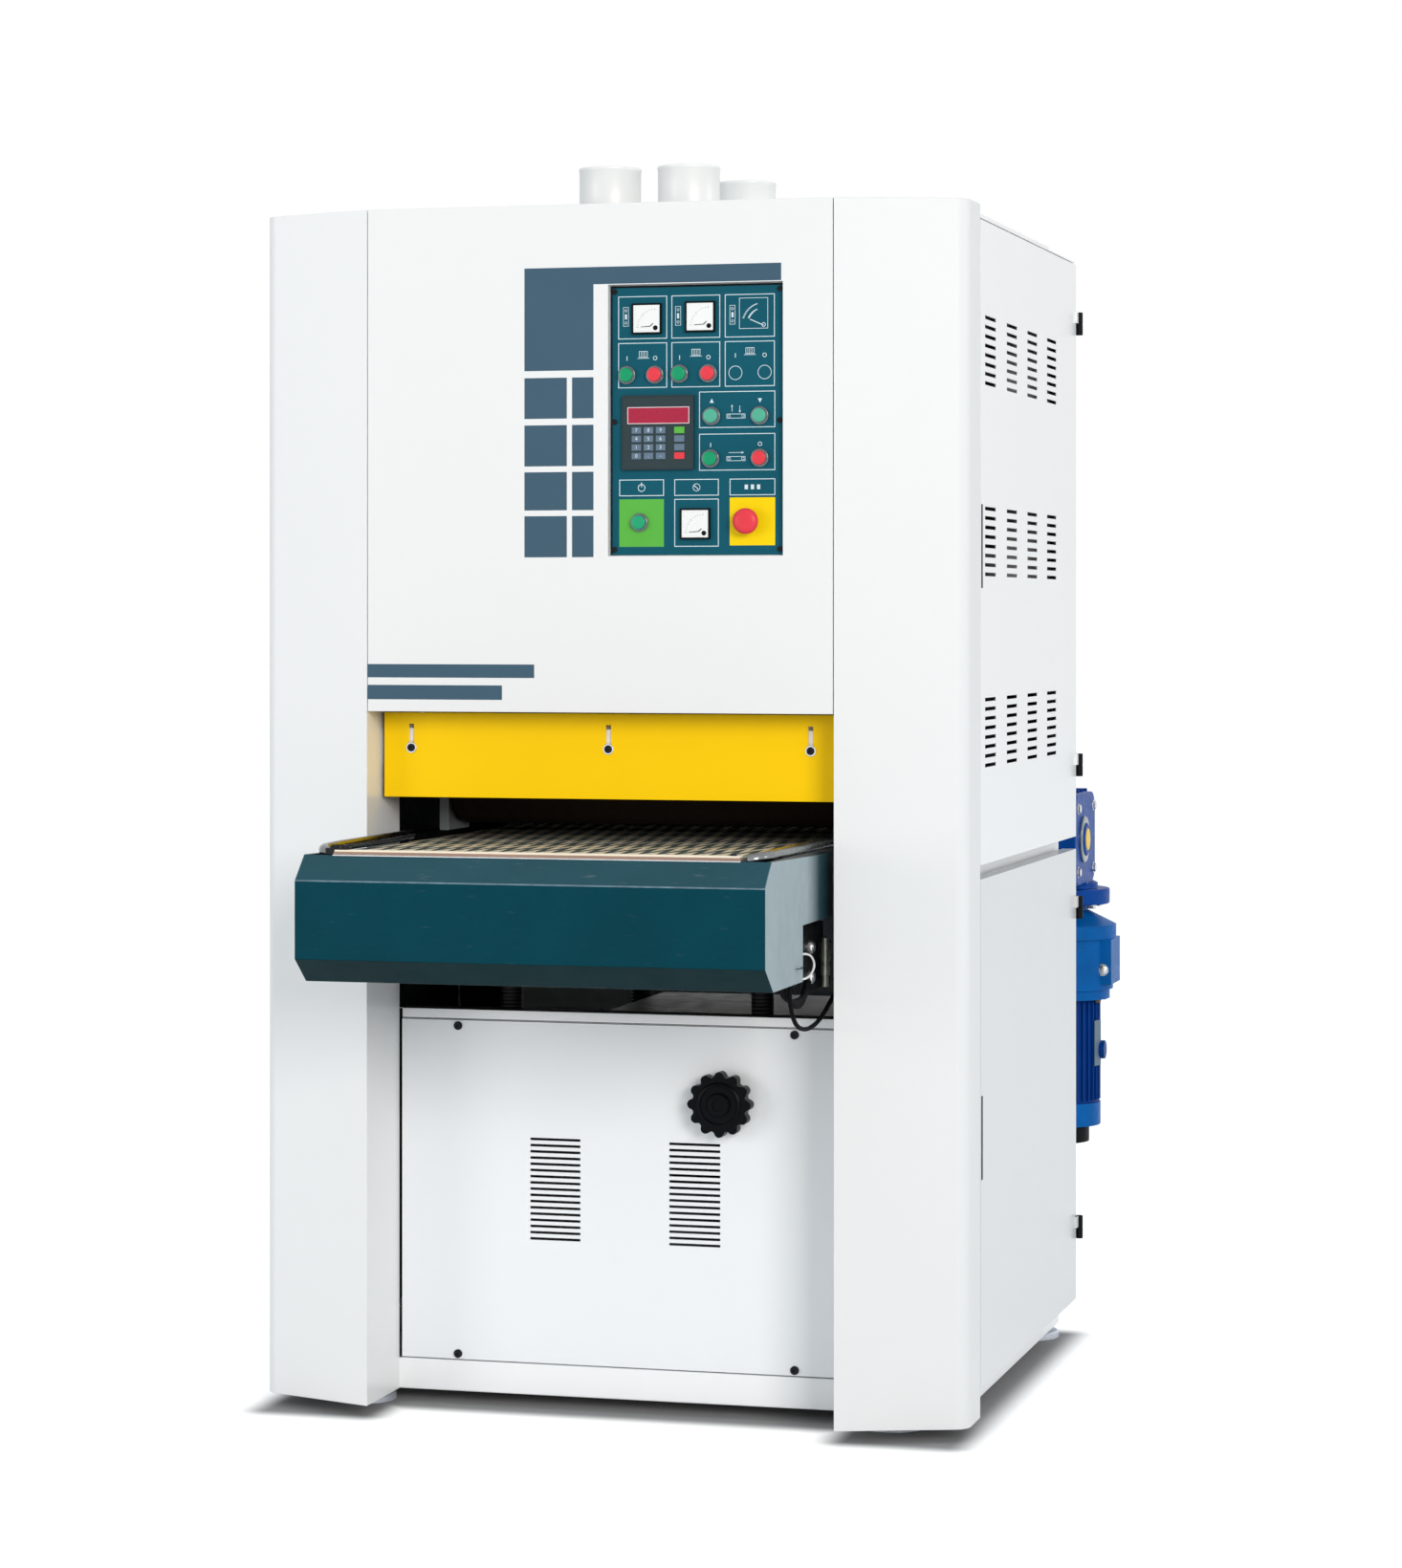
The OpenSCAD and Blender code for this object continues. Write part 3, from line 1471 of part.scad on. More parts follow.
module drive_roller() {
    color("silver") in_frame() conveyor_roller(drive_y, drive_shaft_r, -bed_x1 - boss_t,
        gear_x1 - shaft_end_in);
}

main_frame();
left_pillar();
right_pillar();
upper_front_cover();
lower_front_panel();
top_cover();
dust_outlets();
rear_panels();
levelling_feet();
control_plate();
panel_instruments();
button_collars();
cover_screws();
door_hinges();
head_beams();
sanding_belts();
sanding_pad();
main_motors();
drive_belts();
jack_housings();
lift_chain();
lift_motor();
pressure_shoes();
infeed_guard();
feed_table();
conveyor_belt();
roller_guard();
jack_screws();
worm_gearbox();
feed_variator();
feed_motor();
take_up_blocks();
stop_switch();
switch_cable();
infeed_roller();
drive_roller();
front_drum();
rear_drum();
front_motor_pulley();
rear_motor_pulley();
front_tension_roller();
rear_tension_roller();
front_tension_yoke();
rear_tension_yoke();
right_lift_shaft();
left_lift_shaft();
table_knob();
right_upper_door();
right_lower_door();
left_door();
head1_start();
head1_stop();
head2_start();
head2_stop();
table_up();
table_down();
feed_start();
feed_stop();
power_button();
emergency_stop();
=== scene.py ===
"""Wide belt sander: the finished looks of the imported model, built in the model's own frame."""

import json
import logging
import math
from dataclasses import dataclass, field
from enum import Enum
from functools import cached_property
from typing import Callable, Dict, List, Optional, Sequence, Tuple

import bpy
from mathutils import Euler, Matrix, Vector
from mathutils.geometry import interpolate_bezier


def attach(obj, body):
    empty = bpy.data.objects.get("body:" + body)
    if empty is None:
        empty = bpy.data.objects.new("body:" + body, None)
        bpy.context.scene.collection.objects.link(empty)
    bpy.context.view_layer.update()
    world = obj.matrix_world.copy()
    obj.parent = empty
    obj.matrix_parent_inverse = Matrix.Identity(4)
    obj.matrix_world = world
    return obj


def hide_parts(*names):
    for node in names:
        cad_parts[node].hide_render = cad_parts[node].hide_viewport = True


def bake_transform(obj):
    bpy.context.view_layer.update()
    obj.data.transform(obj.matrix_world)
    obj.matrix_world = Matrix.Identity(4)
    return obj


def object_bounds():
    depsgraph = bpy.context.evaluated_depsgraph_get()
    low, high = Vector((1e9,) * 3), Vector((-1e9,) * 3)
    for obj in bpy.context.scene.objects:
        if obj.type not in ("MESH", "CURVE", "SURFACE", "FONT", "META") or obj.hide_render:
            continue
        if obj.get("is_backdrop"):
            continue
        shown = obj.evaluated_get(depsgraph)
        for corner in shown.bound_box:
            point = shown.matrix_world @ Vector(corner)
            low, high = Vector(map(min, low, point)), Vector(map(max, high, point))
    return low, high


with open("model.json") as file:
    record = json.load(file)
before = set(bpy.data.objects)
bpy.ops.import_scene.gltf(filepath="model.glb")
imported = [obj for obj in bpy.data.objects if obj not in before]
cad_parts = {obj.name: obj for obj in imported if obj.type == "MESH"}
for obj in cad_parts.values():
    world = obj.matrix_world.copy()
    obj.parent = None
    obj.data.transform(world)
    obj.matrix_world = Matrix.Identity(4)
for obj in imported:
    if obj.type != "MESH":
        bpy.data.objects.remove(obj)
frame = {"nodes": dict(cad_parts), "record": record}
CAD_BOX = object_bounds()

LOG = logging.getLogger("belt_sander")
MID_Y = 566.5
EDGE_ANGLE = math.radians(30)
SMOOTH_ANGLE = math.radians(34)
MERGE_ANGLE = math.radians(0.4)
WELD = 0.000002
NODE_WELD = 0.00001
CLOUD_SPAN = (0.3, 0.7)
COAT_ROUGHNESS = 0.12
BUMP_DEPTH = 0.001
GUARD_BOLT_XS = (-328, 0, 328)

Rgb = Tuple[float, float, float]
Point = Tuple[float, float, float]
Flat = Tuple[float, float]
Box = Tuple[float, float, float, float]
Profile = Tuple[Flat, ...]
Thing = bpy.types.Object
Face = bpy.types.MeshPolygon
Socket = bpy.types.NodeSocket
Inputs = Dict[object, object]

ENAMEL = {"drift": 0.004, "grain": 3, "bump": 0.002, "bump_grain": 60, "uneven": 0.04}
CAST = {"drift": 0.12, "grain": 22, "bump": 0.08, "bump_grain": 260, "gloss": 0.08}


def row(x: float, y: float, z: float) -> Vector:
    """Turn millimetres right of the middle, behind the cover's face and above the floor into metres."""
    return Vector((x, y - MID_Y, z)) / 1000


def deep(y: float) -> float:
    """Turn millimetres behind the cover's face into the frame's y in metres."""
    return row(0, y, 0).y


def body_of_node(node: str) -> str:
    """Name the moving body that a CAD node belongs to."""
    bodies: Dict[str, List[str]] = frame["record"]["behaviour"]["bodies"]
    return next(body for body, nodes in bodies.items() if node in nodes)


class Facing(Enum):
    """Which way a piece's own up axis points, as turns about x, y and z in degrees."""

    UP = (0, 0, 0)
    DOWN = (180, 0, 0)
    FRONT = (90, 0, 0)
    BACK = (90, 0, 180)
    RIGHT = (90, 0, 90)
    LEFT = (90, 0, -90)

    def euler(self) -> Euler:
        """Give the turn as an Euler angle."""
        return Euler([math.radians(a) for a in self.value])


class Tree:
    """A node tree, with short calls for the nodes that the finishes and the studio share."""

    def __init__(self, tree: bpy.types.NodeTree) -> None:
        """Open the nodes of a material or of the world."""
        self.tree = tree

    @cached_property
    def coord(self) -> Socket:
        """Give the object coordinates."""
        return self.add("ShaderNodeTexCoord").outputs["Object"]

    def find(self, kind: str) -> bpy.types.Node:
        """Find the first node of a type."""
        return next(n for n in self.tree.nodes if n.type == kind)

    def plug(self, target: Socket, value: object) -> None:
        """Link a socket to another one, or set its plain value.

        Args:
            target: The input.
            value: An output socket, a number, a vector or a colour.
        """
        if isinstance(value, bpy.types.NodeSocket):
            self.tree.links.new(value, target)
        else:
            target.default_value = (*value, 1) if target.type == "RGBA" else value

    def fill(self, node: bpy.types.Node, inputs: Inputs) -> None:
        """Plug several inputs of a node, each by its name or number."""
        for key, value in inputs.items():
            self.plug(node.inputs[key], value)

    def add(self, kind: str, inputs: Optional[Inputs] = None, **values: object) -> bpy.types.Node:
        """Add a node.

        Args:
            kind: The node's type.
            inputs: What its inputs get, by name or number.
            values: Properties to set on it.

        Returns:
            The node.
        """
        node = self.tree.nodes.new(kind)
        for name, value in values.items():
            setattr(node, name, value)
        self.fill(node, inputs or {})
        return node

    def spread(self, scale: Point) -> Socket:
        """Stretch the object coordinates by a factor along each axis."""
        return self.add("ShaderNodeMapping", {"Vector": self.coord, "Scale": scale}).outputs["Vector"]

    def noise(self, where: Socket, scale: float, detail: float = 4) -> Socket:
        """Add a noise texture about 0.5, with so many features per metre and octaves."""
        inputs = {"Vector": where, "Scale": scale, "Detail": detail}
        return self.add("ShaderNodeTexNoise", inputs).outputs["Fac"]

    def remap(self, value: Socket, low: float, high: float, start: float = 0, end: float = 1,
              **values: object) -> Socket:
        """Map the numbers from low to high onto those from start to end."""
        inputs = {"Value": value, "From Min": low, "From Max": high, "To Min": start, "To Max": end}
        return self.add("ShaderNodeMapRange", inputs, **values).outputs["Result"]

    def maths(self, kind: str, first: object, second: object = 0) -> Socket:
        """Work on one or two numbers or sockets."""
        return self.add("ShaderNodeMath", {0: first, 1: second}, operation=kind).outputs[0]

    def mix(self, factor: Socket, first: object, second: object) -> Socket:
        """Mix two colours or colour sockets, the factor being how much of the second."""
        return self.add("ShaderNodeMix", {0: factor, 6: first, 7: second}, data_type="RGBA").outputs[2]

    def parts(self) -> List[Socket]:
        """Split the object coordinates into x, y and z."""
        return list(self.add("ShaderNodeSeparateXYZ", {0: self.coord}).outputs)


@dataclass(frozen=True)
class Finish:
    """A finish whose colour drifts slowly, with uneven gloss and a fine bump."""

    name: str
    slot: str
    colour: Rgb
    rough: float = 0.4
    metal: float = 0
    drift: float = 0.05
    grain: float = 7
    stretch: Point = (1, 1, 1)
    bump: float = 0
    bump_grain: float = 420
    coat: float = 0
    scuffs: float = 0
    glow: float = 0
    gloss: float = 0.5
    uneven: float = 0.18

    def shade(self, factor: float) -> Rgb:
        """Give the colour with each channel multiplied by a factor, at most white."""
        return tuple(min(1, c * factor) for c in self.colour)

    def pattern(self, tree: Tree, where: Socket) -> Tuple[Socket, Optional[Socket]]:
        """Draw the colour and the surface's height.

        Args:
            tree: The material's nodes.
            where: The coordinates.

        Returns:
            The colour, and the height or None.
        """
        cloud = tree.remap(tree.noise(where, self.grain, 6), *CLOUD_SPAN)
        colour = tree.mix(cloud, self.shade(1 - self.drift), self.shade(1 + self.drift))
        if self.scuffs:
            marks = tree.noise(tree.spread((2, 2, 16)), 14, 9)
            faint = tree.remap(marks, 0.64, 0.74, 0, self.scuffs)
            colour = tree.mix(faint, colour, tuple(min(1, c + 0.22) for c in self.colour))
        height = tree.noise(where, self.bump_grain, 3) if self.bump else None
        return colour, height

    def material(self) -> bpy.types.Material:
        """Make the finish's material, once.

        Returns:
            The material.
        """
        found = bpy.data.materials.get(self.name)
        if found:
            return found
        material = bpy.data.materials.new(self.name)
        material.use_nodes = True
        tree = Tree(material.node_tree)
        where = tree.spread(self.stretch)
        colour, height = self.pattern(tree, where)
        spots = tree.noise(where, self.grain * 5, 5)
        low, high = self.rough * (1 - self.uneven), self.rough * (1 + self.uneven)
        inputs = {"Base Color": colour, "Roughness": tree.remap(spots, *CLOUD_SPAN, low, high),
                  "Metallic": self.metal, "Specular IOR Level": self.gloss}
        if self.coat:
            inputs.update({"Coat Weight": self.coat, "Coat Roughness": COAT_ROUGHNESS})
        if self.glow:
            inputs.update({"Emission Color": self.colour, "Emission Strength": self.glow})
        if height:
            relief = {"Strength": self.bump, "Distance": BUMP_DEPTH, "Height": height}
            inputs["Normal"] = tree.add("ShaderNodeBump", relief).outputs["Normal"]
        tree.fill(tree.find("BSDF_PRINCIPLED"), inputs)
        return material


@dataclass(frozen=True)
class RoughTop(Finish):
    """Rough-top conveyor rubber: rows of pale zigzag ribs on a dark ground, the ribs dimmed towards the
    rear by painted shade.
    """

    ground: Rgb = (0.058, 0.080, 0.084)
    tooth: float = 0.0138
    rake: float = 8
    row_pitch: float = 0.150
    shade_from: float = -120
    shade_to: float = 380

    def pattern(self, tree: Tree, where: Socket) -> Tuple[Socket, Optional[Socket]]:
        """Draw the zigzag ribs.

        Args:
            tree: The material's nodes.
            where: The coordinates.

        Returns:
            The colour and the ribs' height.
        """
        x, y, z = tree.parts()
        along = tree.maths("ADD", y, z)
        zigzag = tree.maths("MULTIPLY", tree.maths("PINGPONG", x, self.tooth), self.rake)
        wander = tree.maths("MULTIPLY", tree.noise(where, 90, 5), 0.03)
        line = tree.maths("ADD", tree.maths("ADD", along, zigzag), wander)
        wave = tree.maths("PINGPONG", line, self.row_pitch / 2)
        ribs = tree.remap(wave, self.row_pitch * 0.22, self.row_pitch * 0.33)
        dust = tree.remap(tree.noise(where, 70, 7), 0.35, 0.65, 0.5, 1)
        # The ribs dim towards the rear, into the throat: painted shade.
        rear_shade = tree.remap(y, deep(self.shade_from), deep(self.shade_to), 1, 0.55)
        pale = tree.maths("MULTIPLY", tree.maths("MULTIPLY", ribs, dust), rear_shade)
        nap = tree.maths("MULTIPLY", tree.noise(where, 900), 0.4)
        return tree.mix(pale, self.ground, self.colour), tree.maths("ADD", ribs, nap)


@dataclass(frozen=True)
class Grit(Finish):
    """Abrasive cloth: sharp grains in a dull bond."""

    def pattern(self, tree: Tree, where: Socket) -> Tuple[Socket, Optional[Socket]]:
        """Scatter the grains.

        Args:
            tree: The material's nodes.
            where: The coordinates.

        Returns:
            The colour and the grains' height.
        """
        grains = tree.noise(where, 1500, 2)
        streaks = tree.remap(tree.noise(tree.spread((1, 0.08, 0.08)), 60), 0.35, 0.65, 0, 0.7)
        speckle = tree.mix(tree.remap(grains, 0.4, 0.62), self.shade(0.55), self.shade(1.35))
        return tree.mix(streaks, speckle, self.shade(0.7)), grains


@dataclass(frozen=True)
class Fading(Finish):
    """Paint that darkens from one place to another along an axis, for painted shade."""

    dark: Rgb = (0.01, 0.04, 0.05)
    axis: int = 1
    start: float = -110
    end: float = -30

    def pattern(self, tree: Tree, where: Socket) -> Tuple[Socket, Optional[Socket]]:
        """Fade the paint.

        Args:
            tree: The material's nodes.
            where: The coordinates.

        Returns:
            The colour and the paint's height.
        """
        colour, height = super().pattern(tree, where)
        start, end = (row(at, at, at)[self.axis] for at in (self.start, self.end))
        fade = tree.remap(tree.parts()[self.axis], start, end)
        return tree.mix(fade, colour, self.dark), height


@dataclass(frozen=True)
class Thread(Finish):
    """Turned steel with a thread cut round an upright axis."""

    pitch: float = 0.006

    def pattern(self, tree: Tree, where: Socket) -> Tuple[Socket, Optional[Socket]]:
        """Cut the thread.

        Args:
            tree: The material's nodes.
            where: The coordinates.

        Returns:
            The colour and the thread's height.
        """
        rise = tree.maths("PINGPONG", tree.parts()[2], self.pitch / 2)
        ridge = tree.remap(rise, 0, self.pitch / 2)
        return tree.mix(ridge, self.shade(0.35), self.shade(1.05)), tree.maths("MULTIPLY", ridge, 2)


class Paints:
    """The finishes of this machine."""

    WHITE = Finish("cover_enamel", "cover_white", (0.83, 0.843, 0.85), 0.3, coat=0.15, **ENAMEL)
    # A darker copy of the cover white for the lower side door: painted shade on the less lit lower side.
    SHADED = Finish("lower_door_painted_shade", "cover_white", (0.64, 0.66, 0.672), 0.3, coat=0.15, **ENAMEL)
    # A darker, duller copy of the cover white for the right pillar: painted shade that tones down its
    # brightly lit front.
    PILLAR = Finish("right_pillar_painted_shade", "cover_white", (0.768, 0.785, 0.795), 0.42, gloss=0.3, **ENAMEL)
    # A lighter copy of the cover white for the left pillar: painted light on its less lit front.
    LEFT = Finish("left_pillar_painted_light", "cover_white", (0.875, 0.89, 0.9), 0.3, coat=0.1, **ENAMEL)
    # A lighter, bluer copy of the cover white for the lower front panel: painted light against the shade
    # under the table.
    PANEL = Finish("panel_painted_light", "cover_white", (0.9, 0.933, 0.962), 0.3, coat=0.15, **ENAMEL)
    # The frame's white is lighter than the covers': painted light on the kick rail, which sits in shade at
    # the floor.
    FRAME = Finish("frame_painted_light", "frame_paint", (0.94, 0.962, 0.98), 0.38, drift=0.005, bump=0.01,
                   coat=0.1)
    # Near-black paint for hidden faces inside the cabinet, the doors' inner faces and the throat's back:
    # painted shade for the dark throat.
    INNER_SHADE = Finish("inner_painted_shade", "frame_paint", (0.014, 0.016, 0.017), 0.7, drift=0.25, bump=0.05,
                   gloss=0.03)
    HEAD = Finish("head_enamel", "frame_paint", (0.34, 0.37, 0.39), 0.42, drift=0.06, bump=0.03, gloss=0.3)
    # The lift cover's light paint fades to near black towards its left end: painted shade under the table.
    OLIVE = Fading("lift_cover_painted_shade", "frame_paint", (0.62, 0.63, 0.57), 0.42, drift=0.1, bump=0.03, gloss=0.4,
                   dark=(0.012, 0.013, 0.012), axis=0, start=210, end=20)
    OUTLET = Finish("outlet_enamel", "outlet_metal", (0.83, 0.84, 0.835), 0.34, drift=0.01, bump=0.01,
                    coat=0.1)
    FOOT = Finish("foot_zinc", "foot_metal", (0.62, 0.67, 0.74), 0.4, 0.5, drift=0.1, grain=30, bump=0.05)
    PLATE = Finish("plate_print", "plate_teal", (0.006, 0.092, 0.135), 0.38, drift=0.06, bump=0.01,
                   gloss=0.08)
    DECAL = Finish("decal_film", "plate_teal", (0.054, 0.11, 0.16), 0.4, drift=0.03, bump=0.01, gloss=0.12)
    INK = Finish("panel_ink", "cover_white", (0.66, 0.78, 0.84), 0.5, drift=0.04, gloss=0.3)
    # The yellow guard's enamel glows faintly: painted light.
    YELLOW = Finish("guard_enamel_painted_glow", "guard_yellow", (1, 0.63, 0.0005), 0.34, drift=0.01, bump=0.008,
                    gloss=0.12, glow=0.05)
    TEAL = Finish("teal_enamel", "guard_teal", (0.0005, 0.045, 0.066), 0.3, drift=0.1, bump=0.02,
                  gloss=0.06, scuffs=0.1)
    # Upward faces of the teal guard are lighter: painted light from above, with real scuffs.
    TEAL_TOP = Finish("teal_top_painted_light_and_scuffs", "guard_teal", (0.018, 0.072, 0.095), 0.34, drift=0.12, bump=0.03,
                      gloss=0.1, scuffs=0.16)
    # Downward faces of the teal guard are darker: painted shade beneath.
    TEAL_LOW = Finish("teal_low_painted_shade", "guard_teal", (0.001, 0.022, 0.028), 0.4, drift=0.2, bump=0.03,
                      gloss=0.05)
    # Sloping faces and bevels of the teal guard are pale: painted light from above along its crease.
    TEAL_EDGE = Finish("teal_edge_painted_highlight", "guard_teal", (0.13, 0.2, 0.25), 0.34, drift=0.3, grain=60,
                       gloss=0.2)
    # The guard's side cheeks fade to dark towards the pillars: painted shade of the throat.
    CHEEK = Fading("cheek_painted_shade", "guard_teal", (0.265, 0.35, 0.385), 0.36, drift=0.06, bump=0.02,
                   gloss=0.25)
    BED = Finish("bed_enamel", "bed_paint", (0.3, 0.33, 0.35), 0.4, drift=0.06, bump=0.03, gloss=0.3)
    BLUE = Finish("blue_enamel", "gear_blue", (0.001, 0.105, 0.37), 0.4, scuffs=0.04, **CAST)
    GEAR_BLUE = Finish("gear_blue_enamel", "gear_blue", (0.002, 0.055, 0.29), 0.4, scuffs=0.04, **CAST)
    MOTOR_BLUE = Finish("motor_blue_enamel", "gear_blue", (0.001, 0.038, 0.22), 0.42, **CAST)
    MOTOR = Finish("motor_enamel", "motor_grey", (0.1, 0.115, 0.13), 0.42, drift=0.08, bump=0.06, gloss=0.3)
    BLACK = Finish("black_moulding", "black_plastic", (0.005, 0.006, 0.007), 0.45, drift=0.15, bump=0.03,
                   gloss=0.06)
    CASE = Finish("controller_moulding", "black_plastic", (0.022, 0.04, 0.046), 0.45, drift=0.1, bump=0.03,
                  gloss=0.2)
    KNOB = Finish("knob_bakelite", "black_plastic", (0.002, 0.003, 0.004), 0.3, drift=0.2, bump=0.02,
                  gloss=0.06)
    STEEL = Finish("bright_steel_turned", "bright_steel", (0.62, 0.63, 0.64), 0.28, 1, drift=0.1, grain=40,
                   stretch=(1, 6, 6), bump=0.02)
    GUIDE = Finish("guide_black_chrome", "dark_steel", (0.2, 0.21, 0.215), 0.26, 1, drift=0.3, grain=18,
                   stretch=(1, 0.3, 1), bump=0.05, bump_grain=40)
    DARK = Finish("dark_steel_oiled", "dark_steel", (0.014, 0.016, 0.019), 0.42, 0, drift=0.15, grain=30,
                  bump=0.03, gloss=0.14)
    CHROME = Finish("chrome_bright", "chrome_ring", (0.8, 0.81, 0.82), 0.12, 1, drift=0.03, grain=50)
    COLLAR = Finish("collar_steel", "chrome_ring", (0.2, 0.225, 0.24), 0.22, 1, drift=0.08, grain=50)
    RUBBER = Finish("black_rubber_skin", "black_rubber", (0.014, 0.014, 0.015), 0.62, drift=0.2, grain=25,
                    bump=0.1, gloss=0.06)
    IRON = Finish("turned_iron", "pulley_iron", (0.26, 0.27, 0.28), 0.4, 0.9, drift=0.12, grain=35,
                  bump=0.05)
    ALLOY = Finish("turned_alloy", "roller_aluminium", (0.72, 0.73, 0.74), 0.3, 1, drift=0.06, grain=30,
                   stretch=(0.3, 8, 8), bump=0.02)
    BELT = RoughTop("rough_top_rubber", "belt_rubber", (0.86, 0.76, 0.58), 0.85, bump=0.5, gloss=0.04)
    LATH = Finish("lath_fibre", "belt_rubber", (0.92, 0.82, 0.66), 0.5, drift=0.05, grain=20,
                  stretch=(0.2, 3, 3), bump=0.02, gloss=0.25)
    STRIP = Finish("strip_fibre", "belt_rubber", (0.34, 0.22, 0.17), 0.5, drift=0.12, grain=20,
                   stretch=(0.2, 3, 3), bump=0.04, gloss=0.25)
    ABRASIVE = Grit("abrasive_cloth", "abrasive", (0.034, 0.022, 0.016), 0.9, bump=0.5, gloss=0.15)
    SCREW = Thread("lift_screw_steel", "bright_steel", (0.1, 0.1, 0.11), 0.4, 1, bump=0.8)
    GREEN = Finish("start_green", "green_button", (0.002, 0.31, 0.13), 0.34, drift=0.06, gloss=0.25)
    RED = Finish("stop_red", "red_button", (0.76, 0.045, 0.066), 0.34, drift=0.05, gloss=0.25)
    PALE = Finish("table_green", "pale_green_button", (0.085, 0.42, 0.29), 0.34, drift=0.05, gloss=0.25)
    POWER = Finish("power_green", "bright_green_button", (0.01, 0.36, 0.16), 0.34, drift=0.05, gloss=0.25)
    FIELD_GREEN = Finish("field_green", "bright_green_button", (0.105, 0.45, 0.06), 0.45, drift=0.04,
                         gloss=0.15)
    FIELD_YELLOW = Finish("field_yellow", "guard_yellow", (0.93, 0.67, 0.002), 0.45, drift=0.03, gloss=0.12)
    DIAL = Finish("dial_white", "cover_white", (0.86, 0.88, 0.88), 0.3, drift=0.02, gloss=0.4)
    KEY = Finish("key_grey", "motor_grey", (0.12, 0.18, 0.25), 0.45, drift=0.06, gloss=0.2)
    WINDOW = Finish("display_red", "red_button", (0.36, 0.018, 0.05), 0.3, drift=0.06, gloss=0.2, glow=0.08)
    RIM = Finish("display_rim", "cover_white", (0.8, 0.62, 0.66), 0.4, drift=0.04, gloss=0.3)
    CABLE = Finish("cable_sheath", "cable_black", (0.003, 0.003, 0.004), 0.6, drift=0.15, grain=60,
                   bump=0.03, gloss=0.05)
    BRASS = Finish("cap_yellow", "guard_yellow", (0.85, 0.58, 0.06), 0.34, drift=0.08, gloss=0.25)
    BROWN = Finish("bolt_bronze", "dark_steel", (0.1, 0.075, 0.04), 0.4, 0.6, drift=0.15, grain=60)
    BARREL = Finish("barrel_zinc", "bright_steel", (0.34, 0.35, 0.3), 0.35, 0.8, drift=0.15, grain=50,
                    bump=0.04)
    GLAND = Finish("wire_white", "cover_white", (0.82, 0.83, 0.84), 0.42, drift=0.04, gloss=0.3)


